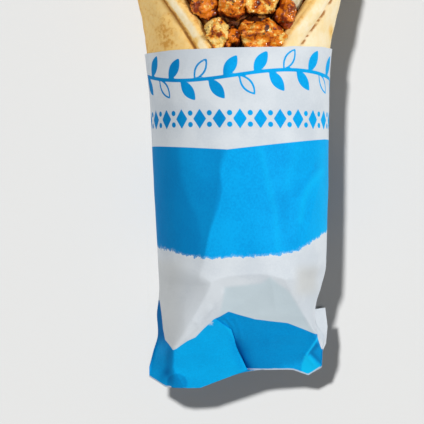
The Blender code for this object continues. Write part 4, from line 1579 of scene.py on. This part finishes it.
    def distances(self, plain: Array, phi: Array, outer: Array) -> dict[str, Array]:
        """What the finish reads at each point: how far inside each printed field it lies, its wear, and its
        painted shade and highlight.

        Args:
            plain: The surface without wrinkles.
            phi: The angle round the sleeve.
            outer: The finished surface.

        Returns:
            The values by name.
        """
        x, y, _ = np.moveaxis(plain, -1, 0)
        front = np.cos(phi) >= 0
        round_back = np.clip((phi - math.pi / 2) / math.pi, 0, 1)
        top = np.where(front, straight(self.band_top, x), straight(self.back_top, round_back))
        foot = np.where(front, through(self.band_foot, x), straight(self.back_foot, round_back))
        behind = straight(self.back_tail, round_back) - y
        tail = np.where(front, inside_distance(x, y, self.foot_outline), behind)
        steps = np.linalg.norm(np.diff(outer, axis=1), axis=-1)
        around = np.concatenate([np.zeros((len(outer), 1)), np.cumsum(steps, axis=1)], axis=1)
        u = around - around[:, self.front_columns // 2, None]
        motif = np.where(y > self.motif_end, self.pattern.inside(u, y), FAR_OUTSIDE)
        ridge = np.exp(-np.abs(tail) / 0.5) * smooth_step(-70, -75, y) * 0.6
        cut = smooth_step(0.95, 0.45, y - straight(self.tail_end, x)) * ((x > 3.5) | (x < -29)) * (y < -60)
        # Painted shade on the white: blue-grey on the central facet, yellowish grey on the tube's right end and
        # low on the left.
        painted_shade_bluish = smooth_step(-0.7, 1.3, inside_distance(x, y, self.painted_shade_outline)) * 0.75
        left_painted_shade = 0.40 * smooth_step(-20.0, -30.0, x) * smooth_step(-50.0, -56.0, y)
        painted_shade_beige = self.right_painted_shadow.at(x, y, 4) + left_painted_shade
        return {
            "band_top": top - y,
            "band_foot": y - foot,
            "motif": motif,
            "tail": tail,
            "wear": np.maximum(np.maximum(ridge, self.scuff.at(x, y)), cut * 1.2),
            # Painted shade and highlight on the blue; the back is painted a little darker.
            "painted_shade_and_highlight": np.where(front, self.painted_shade_and_highlight(x, y), 0.2),
            "painted_shade_tint": np.where(front, painted_shade_bluish - painted_shade_beige, 0.0),
        }

    def painted_shade_and_highlight(self, x: Array, y: Array) -> Array:
        """Painted shade and painted highlight on the blue: darker where a fold turns from the light, lighter
        where it faces it.

        Args:
            x: Places across.
            y: Places along.

        Returns:
            The tones, 1 for the deepest painted shade and below 0 for painted highlight.
        """
        # Painted shade on the band's left, where it turns from the light, and lighter towards the right.
        soft = 0.7 + 1.5 * smooth_step(-18.0, -6.0, y)
        shade_beside_bend = smooth_step(1.0, -1.0, (x - through(self.bend_x, y)) / soft)
        deepest_shade = smooth_step(1.8, -1.8, x - through(self.deepest_painted_shade_x, y))
        band = (0.46 * shade_beside_bend + 0.18 * deepest_shade - 0.14 * smooth_step(18.0, 32.0, x)) * (y > -60)
        band = band + self.painted_streak_sum(x, y, self.painted_streaks) * (y > -60)
        # Painted shade in the pleat's valley and over the foot's right facet.
        past = x - straight(self.pleat, y)
        valley = 0.80 * np.exp(-np.maximum(past, 0) / 3.0) * smooth_step(-80.0, -92.0, y)
        right = np.where((past > 0) & (y < -60), 0.36 + valley, 0)
        # Painted shade on the foot's left strip, deeper towards its top.
        left = smooth_step(0.6, -0.6, x - straight(self.corner_edge, y)) * (y < -68)
        left = left * (0.24 + 0.80 * smooth_step(-92.0, -84.0, y))
        # A darker round patch low on the left of the foot.
        px, py, wide, long = self.darker_disc
        patch = 0.56 * smooth_step(-0.10, 0.10, 1 - np.hypot((x - px) / wide, (y - py) / long))
        tail = np.maximum(right, np.where(patch > left, patch, left))
        # Painted highlight over the foot's left facet.
        tail = np.where((past <= 0) & (left < 0.02) & (y < -70), tail - 0.24, tail)
        tone = np.where(y > -60, band, tail)
        # Painted shade and painted highlight on two small facets at the right corner.
        dark = smooth_step(-0.4, 0.4, inside_distance(x, y, self.corner_painted_shade))
        light = smooth_step(-0.8, 0.8, inside_distance(x, y, self.corner_painted_highlight))
        tone = tone * (1 - dark) * (1 - light) + 0.22 * dark - 0.95 * light
        return tone + self.painted_streak_sum(x, y, self.tail_painted_streaks) * (y < -60)

    def painted_streak_sum(self, x: Array, y: Array, painted_streaks: tuple[PaintedStreak, ...]) -> Array:
        """The painted shade and highlight of soft streak lines, summed: each falls as a bell with the distance
        from its line.
        """
        return sum(s.tone * bell(line_distance(x, y, s.line), s.reach) for s in painted_streaks)

    def ear_shape(self) -> Shape:
        """The ear: a thin leaf of paper, its front and back a small gap apart, bowed down at its outer side.

        Returns:
            The shape.
        """
        s, t = np.meshgrid(*(np.linspace(0, 1, count) for count in self.ear_grid))
        left = straight(self.ear_left, t) - self.ear_hidden
        x = left + (straight(self.ear_right, t) - left) * s
        y = self.ear_top - self.ear_length * t + 0.8 * (s - 0.5) * (1 - t)
        rough = lattice_noise(np.stack([x, y, 0 * x], axis=-1), 6, 71)
        upper = np.stack([x, y, self.ear_height - self.ear_bow * s**2 + 0.5 * rough], axis=-1)
        lower = upper - np.array([0, 0, self.ear_wall])
        count = s.size
        base = np.arange(count).reshape(s.shape)
        ring = np.concatenate([base[0], base[1:, -1], base[-1, -2::-1], base[-2:0:-1, 0]])
        quads = np.stack([base[:-1, :-1], base[1:, :-1], base[1:, 1:], base[:-1, 1:]], axis=-1).reshape(-1, 4)
        following = np.roll(ring, -1)
        sides = np.stack([ring, following, following + count, ring + count], axis=-1)
        points = np.concatenate([upper.reshape(-1, 3), lower.reshape(-1, 3)])
        bare = np.full(len(points), FAR_OUTSIDE)
        values = {k: bare for k in ("band_top", "band_foot", "motif", "tail")}
        values["wear"] = values["painted_shade_tint"] = values["painted_shade_and_highlight"] = bare * 0
        return Shape(points, [quads, quads[:, ::-1] + count, sides], values)

    def build(self) -> None:
        """Makes the sleeve and its ear in place of their solid."""
        paper = self.finish.make()
        sleeve = self.shape().build("printed_sleeve", paper, "paper")
        sleeve.data.set_sharp_from_angle(angle=self.sharp_fold)
        ear = self.ear_shape().build("sleeve_ear", paper, "paper")
        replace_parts(sleeve, "paper_sleeve")
        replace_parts(ear, "paper_sleeve")


@dataclass(frozen=True)
class Heap:
    """A heap over the opening: an oval across, its crown falling to the open end as a quarter of an oval."""

    crown: float
    foot: float
    length: float
    start_y: float = 50.0
    margin: float = 5.0

    def height(self, roll: Roll, x: Array, y: Array) -> Array:
        """The heap's height.

        Args:
            roll: The bread that holds it.
            x: Places across.
            y: Places along.

        Returns:
            The heights.
        """
        fall = np.clip((y - self.start_y) / self.length, 0, 1)
        top = self.foot + (self.crown - self.foot) * np.sqrt(1 - fall**2)
        middle = np.minimum(roll.axis, self.foot + 0.5 * (top - self.foot))
        across = (x - through(roll.middle, y)) / (through(roll.half_width, y) - self.margin)
        return middle + (top - middle) * np.sqrt(np.maximum(0, 1 - across**2))


@dataclass
class Filling:
    """The sauced filling that runs through the roll, up to its free top under the loose pieces."""

    roll: Roll
    finish: FillingFinish = FillingFinish()
    heap: Heap = Heap(53.5, 13.0, 38.0)
    rise_y: float = 29.0
    full_y: float = 12.0
    gap: float = 1.5
    spare: float = 0.6
    face_bulge: float = 1.6
    face_lumps: float = 5.5
    face_y: float = 84.4
    near_length: float = 34.0
    rows: int = 60
    row_gap: float = 0.8
    end_rows: int = 7
    columns: int = 200
    cap_rings: tuple[float, ...] = (0.1, 0.25, 0.4, 0.55, 0.7, 0.82, 0.91, 0.97)

    def top(self, x: Array, y: Array) -> Array:
        """The filling's top: the heap, and up to the bread deep in the sleeve."""
        rise = np.clip((self.rise_y - y) / (self.rise_y - self.full_y), 0, 1) ** 2
        return self.heap.height(self.roll, x, y) + rise * self.roll.crown

    def shape(self) -> Shape:
        """The closed filling: inside the bread by a small gap, cut off at its top, and lumpy there.

        Returns:
            The shape.
        """
        roll = self.roll
        near = self.face_y - self.near_length * (1 - np.cos(np.linspace(0, 1, self.rows) * math.pi / 2))
        run = np.linspace(near[-1] - self.row_gap, roll.end_y, self.rows)
        end, share = roll.closed_end(self.end_rows)
        y = np.concatenate([near, run, end])
        shrink = np.concatenate([np.ones(2 * self.rows), share])
        phi = np.linspace(0, 2 * math.pi, self.columns, endpoint=False)[None, :] + np.zeros((len(y), 1))
        rows = np.broadcast_to(y[:, None], phi.shape)
        psi = (phi - roll.turn) % (2 * math.pi) - math.pi
        wall = roll.surface(phi, rows, shrink[:, None])
        inset = roll.inner_offset(psi, roll.edge_distance(psi, rows), self.spare) - self.gap + roll.tuck(rows)
        grid = wall + normals_of(wall, closed_round=True) * inset[..., None]
        grid[..., 1] = np.where(rows > self.rise_y, rows, grid[..., 1])
        top = self.top(grid[..., 0], grid[..., 1])
        free = smooth_step(-2.0, 1.0, grid[..., 2] - top)
        open_end = smooth_step(70.0, 84.0, grid[..., 1])
        lumps = (1.3 + 2.7 * open_end) * layered_noise(grid, 5.5, 81, 4) - 0.5 - 1.1 * open_end
        grid[..., 2] = np.minimum(grid[..., 2], top) + free * lumps
        face = np.array(self.cap_rings)[:, None, None]
        middle = grid[0].mean(axis=0)
        cap = middle + (grid[0] - middle) * face
        bulge = self.face_bulge + self.face_lumps * layered_noise(cap, 6.5, 83, 4)
        cap[..., 1] += bulge * (1 - face[..., 0] ** 4)
        grid = np.concatenate([cap, grid])
        size = self.columns
        poles = np.stack([grid[0].mean(axis=0), grid[-1].mean(axis=0)])
        body = grid[:-1]
        points = np.concatenate([body.reshape(-1, 3), poles])
        front = fan(0, size, len(points) - 2)
        back = fan((len(body) - 1) * size, size, len(points) - 1, flip=True)
        shown = smooth_step(68, 82, points[:, 1])
        return Shape(points, [ring_quads(len(body), size), front, back], {"shown": shown})

    def build(self) -> None:
        """Makes the piece in place of its solid."""
        piece = self.shape().build("sauced_filling", self.finish.make(), "filling")
        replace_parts(piece, "chicken_filling")


@dataclass(frozen=True)
class Morsel:
    """One piece on the heap: its place, its share of the usual length and width, its turn and its tone."""

    x: float
    y: float
    length: float
    width: float
    turn: float
    tone: float


@dataclass
class Toppings:
    """The pieces of chicken and the slice of onion on the heap, pressed against each other."""

    roll: Roll
    filling: Filling
    chicken: ChickenFinish = ChickenFinish()
    onion: OnionFinish = OnionFinish()
    heap: Heap = Heap(61.0, 8.0, 51.0)
    half_size: Point = (10.6, 8.4, 7.6)
    sunk: float = 6.2
    lump: float = 0.17
    gap: float = 0.3
    edge_gap: float = 0.5
    covered: float = 1.0
    shoulder: float = 14.0
    rim_y: float = 36.5
    spots: tuple[Point, ...] = (
        (-8.9, 41.0, 1.5), (-18.4, 51.6, 1.7), (16.5, 44.0, 1.4), (17.0, 46.3, 1.3), (-10.5, 58.5, 1.4),
        (24.5, 66.0, 1.6), (-20.0, 73.0, 1.5), (3.0, 80.0, 1.6), (-12.0, 92.0, 1.5), (14.0, 90.0, 1.4),
    )
    chars: tuple[Point, ...] = (
        (11.0, 43.6, 1.5), (-5.0, 57.0, 3.4), (-24.0, 66.0, 2.4), (10.0, 73.5, 2.8), (-3.0, 90.0, 2.6),
        (18.0, 82.0, 2.2),
    )
    crags: float = 1.15
    onion_crags: float = 0.35
    segments: int = 120
    rings: int = 62
    morsels: tuple[Morsel, ...] = (
        Morsel(-10.2, 42.0, 0.66, 0.66, 80, -0.08),
        Morsel(-3.0, 40.4, 0.46, 0.42, 80, 0.95),
        Morsel(9.4, 43.0, 1.10, 0.90, 4, 0.32),
        Morsel(-17.4, 55.2, 0.82, 0.86, 40, 0.72),
        Morsel(-4.2, 55.6, 0.78, 0.84, -12, 0.45),
        Morsel(10.4, 56.8, 1.02, 0.86, 5, 0.10),
        Morsel(21.6, 52.6, 0.90, 0.52, 62, 1.35),
        Morsel(-22.4, 69.0, 0.95, 0.85, 60, 0.50),
        Morsel(-7.6, 69.2, 1.00, 0.95, 5, 0.30),
        Morsel(8.4, 71.0, 1.00, 0.92, -25, 0.55),
        Morsel(24.0, 69.0, 0.95, 0.90, 50, 0.25),
        Morsel(-28.4, 81.0, 0.74, 0.78, 80, 0.70),
        Morsel(-15.4, 80.6, 0.90, 0.95, -20, 0.20),
        Morsel(0.6, 82.4, 0.98, 0.95, 30, 0.45),
        Morsel(16.6, 81.4, 0.92, 0.92, -10, 0.35),
        Morsel(29.6, 81.4, 0.74, 0.82, 95, 0.60),
        Morsel(-22.6, 89.6, 0.92, 0.92, 20, 0.40),
        Morsel(-6.4, 90.6, 0.95, 0.95, -30, 0.65),
        Morsel(9.4, 91.2, 0.95, 0.95, 15, 0.15),
        Morsel(24.0, 89.2, 0.92, 0.92, -25, 0.50),
        Morsel(-15.6, 97.6, 0.85, 0.80, 15, 0.30),
        Morsel(1.2, 98.6, 0.88, 0.80, -8, 0.55),
        Morsel(17.0, 97.6, 0.85, 0.80, 20, 0.25),
        Morsel(26.6, 57.0, 0.62, 0.32, 62, 0.0),
    )

    def sizes(self, index: int) -> Array:
        """Half the length, width and height of a piece."""
        return np.array(self.half_size) * (self.morsels[index].length, self.morsels[index].width, 1.0)

    def height(self, x: Array | float, y: Array | float) -> Array:
        """The heap's height."""
        return self.heap.height(self.roll, x, y)

    def frames(self) -> list[tuple[Array, Array]]:
        """The middle and the three axes of each piece, laid on the heap's slope.

        Returns:
            A point and a 3 by 3 array for each piece.
        """
        made = []
        for m in self.morsels:
            slope = [
                float(self.height(m.x + dx, m.y + dy) - self.height(m.x - dx, m.y - dy))
                for dx, dy in ((0.5, 0), (0, 0.5))
            ]
            up = unit(np.array([-slope[0], -slope[1], 1.0]))
            ahead = np.array([math.cos(m.turn * DEGREE), math.sin(m.turn * DEGREE), 0.0])
            ahead = unit(ahead - up * (ahead @ up))
            centre = np.array([m.x, m.y, float(self.height(m.x, m.y))]) - up * self.sunk
            made.append((centre, np.stack([ahead, np.cross(up, ahead), up])))
        return made

    def place(self, points: Array) -> tuple[Array, Array, Array]:
        """Where points lie in the roll: the angle psi, the reach (1 at its face) and the edge's distance.

        Args:
            points: The points.

        Returns:
            The three values.
        """
        x, y, z = points.T
        height = np.where(z > self.roll.axis, self.roll.crown, self.roll.belly)
        across = (x - through(self.roll.middle, y)) / through(self.roll.half_width, y)
        up = (z - self.roll.axis) / height
        psi = (np.arctan2(across, up) - self.roll.turn) % (2 * math.pi) - math.pi
        return psi, np.hypot(across, up), self.roll.edge_distance(psi, y)

    def drawn_in(self, points: Array, allowed: Array) -> Array:
        """Points drawn in towards the roll's axis to an allowed offset from its outer face.

        Args:
            points: The points.
            allowed: The offset for each.

        Returns:
            The drawn points.
        """
        middle = through(self.roll.middle, points[:, 1])
        scale = np.minimum(1, (1 + allowed / self.roll.crown) / self.place(points)[1])
        drawn = points.copy()
        drawn[:, 0] = middle + (points[:, 0] - middle) * scale
        drawn[:, 2] = self.roll.axis + (points[:, 2] - self.roll.axis) * scale
        return drawn

    def inside_bread(self, centre: Array, offsets: Array) -> Array:
        """Offsets from a middle, shortened by halving so that the piece stays in the opening or the bread.

        Args:
            centre: The piece's middle.
            offsets: The offsets from it.

        Returns:
            The shortened offsets.
        """
        points = centre + offsets
        if self.place(centre[None])[2][0] < -0.9:
            low, high = np.zeros(len(points)), np.ones(len(points))
            for _ in range(14):
                share = (low + high) / 2
                clear = self.place(centre + offsets * share[:, None])[2] < -self.edge_gap
                low, high = np.where(clear, share, low), np.where(clear, high, share)
            points = centre + offsets * low[:, None]
            allowed = -0.6 + 7.0 * smooth_step(self.rim_y, self.rim_y + 11.5, points[:, 1])
            return self.drawn_in(points, allowed) - centre
        psi, _, distance = self.place(points)
        return self.drawn_in(points, self.roll.inner_offset(psi, distance, 0.6) - 0.4) - centre

    def shape(self, index: int, frames: list[tuple[Array, Array]], crags: float) -> Shape:
        """One piece: a lumpy rounded block, cut by a wall towards each neighbour, then roughened.

        Args:
            index: Which piece.
            frames: The frames of all pieces.
            crags: The height of its roughness.

        Returns:
            The shape.
        """
        centre, axes = frames[index]
        size = self.sizes(index)
        ring = np.linspace(0, math.pi, self.rings)[1:-1]
        turn = np.linspace(0, 2 * math.pi, self.segments, endpoint=False)
        around, down = np.meshgrid(turn, ring)
        ways = np.stack([np.sin(down) * np.cos(around), np.sin(down) * np.sin(around), np.cos(down)], axis=-1)
        ways = np.concatenate([ways.reshape(-1, 3), [[0, 0, 1.0]], [[0, 0, -1.0]]])
        drawn = np.random.default_rng(100 + index)
        waves = 0.0
        for k in range(3):
            wave = np.sin((1.2 + 0.8 * k) * (ways @ drawn.normal(size=3)) + drawn.uniform(0, 6))
            waves = waves + self.lump / (1 + k) * wave
        square = (np.abs(ways) ** 3).sum(axis=1) ** (-1 / 3)
        local = ways * (square * (1 + waves))[:, None] * size
        local = local * (1 + 0.20 * layered_noise(ways * 8 + index * 31.7, 5.0, 7, 3))[:, None]
        offsets = self.inside_bread(centre, local @ axes)
        for other, (neighbour, neighbour_axes) in enumerate(frames):
            if other == index:
                continue
            towards = (neighbour - centre) * (1, 1, 0)
            apart = np.linalg.norm(towards)
            towards /= apart
            own = np.linalg.norm(axes @ towards * size)
            others = np.linalg.norm(neighbour_axes @ towards * self.sizes(other))
            room = apart * own / (own + others) - self.gap / 2
            along = offsets @ towards
            limit = room / np.maximum(along, 1e-6)
            softened = 1 - np.logaddexp(0, (1 - limit) * self.shoulder) / self.shoulder
            offsets = offsets * np.where(limit < 2, softened, 1)[:, None]
        points = centre + offsets
        core = self.filling.top(points[:, 0], points[:, 1])
        points[:, 2] = np.maximum(points[:, 2], core - self.covered)
        return self.roughened(points, index, crags)

    def roughened(self, points: Array, index: int, crags: float) -> Shape:
        """Crags along the normals: layered noise, with sharp grooves where a second noise crosses zero.

        Args:
            points: The smooth piece, its two poles last.
            index: Which piece.
            crags: The height of the roughness.

        Returns:
            The shape, with the values that its finish reads.
        """
        rows, columns = self.rings - 2, self.segments
        grid = points[:-2].reshape(rows, columns, 3)
        normal = normals_of(grid[:, ::-1], closed_round=True)[:, ::-1]
        out = grid - points[:-2].mean(axis=0)
        normal = normal * np.sign((normal * out).sum(axis=-1, keepdims=True) + 1e-9)
        shift = index * 13.1
        broad = layered_noise(grid + shift, 6.5, 21, 2)
        fine = layered_noise(grid + shift, 2.0, 23, 3)
        strand = bell(lattice_noise(grid + shift, 5.0, 29), 0.10)
        height = crags * (0.65 * broad + 0.70 * fine - 0.45 * strand)
        grid = grid + normal * height[..., None]
        # The hollows of the crags, which the finish paints as glaze with painted shade.
        dent_glaze_and_shade = np.clip(0.30 - 0.40 * broad - 0.55 * fine + 0.50 * strand, 0, 1.5)
        top, low = points[-2:] + [[0, 0, float(height[0].mean())], [0, 0, 0]]
        count = rows * columns
        crown = fan(0, columns, count)
        under = fan(count - columns, columns, count + 1, flip=True)
        made = np.concatenate([grid.reshape(-1, 3), [top, low]])
        values = {
            # Hollows, then how far under the heap a point lies: both are painted darker as glaze with painted
            # shade.
            "dent_glaze_and_shade": np.concatenate([dent_glaze_and_shade.reshape(-1), [0.3, 0.3]]),
            "tone": np.full(count + 2, self.morsels[index].tone),
            "low": smooth_step(0.6, 4.0, self.height(made[:, 0], made[:, 1]) - made[:, 2]),
            "spot": self.marked(made, self.spots),
            "char": self.marked(made, self.chars),
        }
        return Shape(made, [ring_quads(rows, columns), crown, under], values)

    def marked(self, points: Array, marks: tuple[Point, ...]) -> Array:
        """How near points lie to marked places (x, y, radius): a bell that is 1 in the middle."""
        near = [np.exp(-(((points[:, 0] - x) ** 2 + (points[:, 1] - y) ** 2) / r**2)) for x, y, r in marks]
        return np.max(near, axis=0)

    def build(self) -> list[Shape]:
        """Makes each piece in place of its solid.

        Returns:
            The shapes of the chicken.
        """
        frames = self.frames()
        chicken, onion = self.chicken.make(), self.onion.make()
        shapes = []
        for index in range(len(self.morsels) - 1):
            shape = self.shape(index, frames, self.crags)
            number = f"{index + 1:02d}"
            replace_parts(shape.build(f"grilled_piece_{number}", chicken, "chicken"), f"chicken_piece_{number}")
            shapes.append(shape)
        slice_shape = self.shape(len(self.morsels) - 1, frames, self.onion_crags)
        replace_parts(slice_shape.build("pale_onion_slice", onion, "onion"), "onion_slice")
        return shapes


@dataclass
class HerbFlecks:
    """Chopped herbs that lie on the chicken: small bent flakes."""

    finish: HerbFinish = HerbFinish()
    for_each_piece: int = 7
    seed: int = 5
    corners: int = 6
    facing_up: float = 0.45
    raggedness: tuple[float, float] = (0.5, 1.3)
    half_length: tuple[float, float] = (0.35, 0.85)
    half_width: tuple[float, float] = (0.25, 0.5)
    rim_height: float = 0.1
    peak: float = 0.3
    root: float = 0.2

    def build(self, shapes: list[Shape]) -> None:
        """Lays flakes on points that face up, each a ragged hexagon with a raised middle, closed below.

        Args:
            shapes: The pieces of chicken.
        """
        drawn = np.random.default_rng(self.seed)
        at, up = [], []
        for shape in shapes:
            high = shape.points[:-2]
            out = unit(high - high.mean(axis=0))
            shown = np.flatnonzero(out[:, 2] > self.facing_up)
            chosen = drawn.choice(shown, self.for_each_piece, replace=False)
            at.append(high[chosen])
            up.append(out[chosen])
        at, up = np.concatenate(at), np.concatenate(up)
        count, corners = len(at), self.corners
        side = unit(np.cross(up, drawn.normal(size=(count, 3))))
        across = np.cross(up, side)
        turn = np.linspace(0, 2 * math.pi, corners, endpoint=False)
        reach = drawn.uniform(*self.raggedness, size=(count, corners))
        long = drawn.uniform(*self.half_length, size=(count, 1)) * np.cos(turn) * reach
        wide = drawn.uniform(*self.half_width, size=(count, 1)) * np.sin(turn) * reach
        rim = at[:, None] + long[..., None] * side[:, None] + wide[..., None] * across[:, None]
        rim = rim + self.rim_height * up[:, None]
        tips = np.stack([at + self.peak * up, at - self.root * up], axis=1)
        first = np.arange(count)[:, None] * (corners + 2)
        above = fan(first, corners, first + corners)
        below = fan(first, corners, first + corners + 1, flip=True)
        points = np.concatenate([rim, tips], axis=1).reshape(-1, 3)
        Shape(points, [above, below]).build("herb_flecks", self.finish.make(), "filling")


@dataclass
class Studio:
    """The camera straight above, the pale floor and the light."""

    height: float = 1.1
    target: tuple[float, float] = (-0.0118, -0.0327)
    sharp_height: float = 0.031
    millimetres_per_pixel: float = 0.428
    picture: int = 424
    sensor: float = 36.0
    fill: float = 0.20
    key_strength: float = 2.25
    key_from: Point = (0.62, 0.10, 0.74)
    soft_strength: float = 1.22
    soft_from: Point = (-0.55, 0.10, 0.83)
    floor_key: float = 7.45
    floor_from: Point = (-0.262, 0.375, 1.0)
    floor_soft: float = 0.92
    floor_half: float = 3.0
    key_angle: float = 16.0
    soft_angle: float = 50.0
    floor_angle: float = 4.0

    def camera(self) -> None:
        """The camera, with the photograph's frame at the height of the wrap's outline."""
        data = bpy.data.cameras.new("camera")
        data.sensor_width = self.sensor
        width = self.millimetres_per_pixel * MM * self.picture
        data.lens = self.sensor / width * (self.height - self.sharp_height)
        data.clip_start = 0.01
        camera = linked("camera", data)
        camera.location = (*self.target, self.height)
        bpy.context.scene.camera = camera

    def floor(self) -> bpy.types.Object:
        """The floor, a wide flat square.

        Returns:
            The floor.
        """
        mesh = bpy.data.meshes.new("floor")
        half = self.floor_half
        corners = [(-half, -half, 0), (half, -half, 0), (half, half, 0), (-half, half, 0)]
        mesh.from_pydata(corners, [], [(0, 1, 2, 3)])
        mesh.materials.append(FloorFinish().make())
        floor = linked("floor", mesh)
        return floor

    def sun(self, name: str, strength: float, angle: float, came_from: Sequence[float]) -> bpy.types.Object:
        """A distant light.

        Args:
            name: The light's name.
            strength: Its strength.
            angle: How wide it looks, in degrees.
            came_from: The direction it comes from.

        Returns:
            The light.
        """
        data = bpy.data.lights.new(name, "SUN")
        data.energy = strength
        data.angle = angle * DEGREE
        light = linked(name, data)
        x, y, z = came_from
        light.rotation_euler = (0, math.atan2(math.hypot(x, y), z), math.atan2(y, x))
        return light

    def light(self, floor: bpy.types.Object) -> None:
        """An even fill, a key from the right and a soft light from the left on the wrap, two on the floor.

        Args:
            floor: The floor. One of its lights lays the shadow down, and the one from above brightens it.
        """
        world = bpy.data.worlds.new("studio")
        world.use_nodes = True
        inputs = world.node_tree.nodes["Background"].inputs
        inputs["Strength"].default_value = self.fill
        inputs["Color"].default_value = (1, 1, 1, 1)
        bpy.context.scene.world = world
        ground = bpy.data.collections.new("ground")
        ground.objects.link(floor)
        wrap = bpy.data.collections.new("wrap")
        for piece in bpy.context.scene.objects:
            if piece.type == "MESH" and piece is not floor:
                wrap.objects.link(piece)
        for name, strength, angle, came_from, lit in (
            ("key", self.key_strength, self.key_angle, self.key_from, wrap),
            ("soft", self.soft_strength, self.soft_angle, self.soft_from, wrap),
            ("floor_key", self.floor_key, self.floor_angle, self.floor_from, ground),
            ("floor_soft", self.floor_soft, self.floor_angle, (0.0, 0.0, 1.0), ground),
        ):
            self.sun(name, strength, angle, came_from).light_linking.receiver_collection = lit

    def build(self) -> None:
        """Makes the camera, the floor and the light, and keeps colours as they are."""
        self.camera()
        self.light(self.floor())
        bpy.context.scene.view_settings.view_transform = "Standard"


def main() -> None:
    """Builds the wrap and its setting."""
    logging.basicConfig(level=logging.INFO)
    roll = Roll()
    PaperSleeve(roll).build()
    Flatbread(roll).build()
    filling = Filling(roll)
    filling.build()
    HerbFlecks().build(Toppings(roll, filling).build())
    Studio().build()


if __name__ == "__main__":
    main()
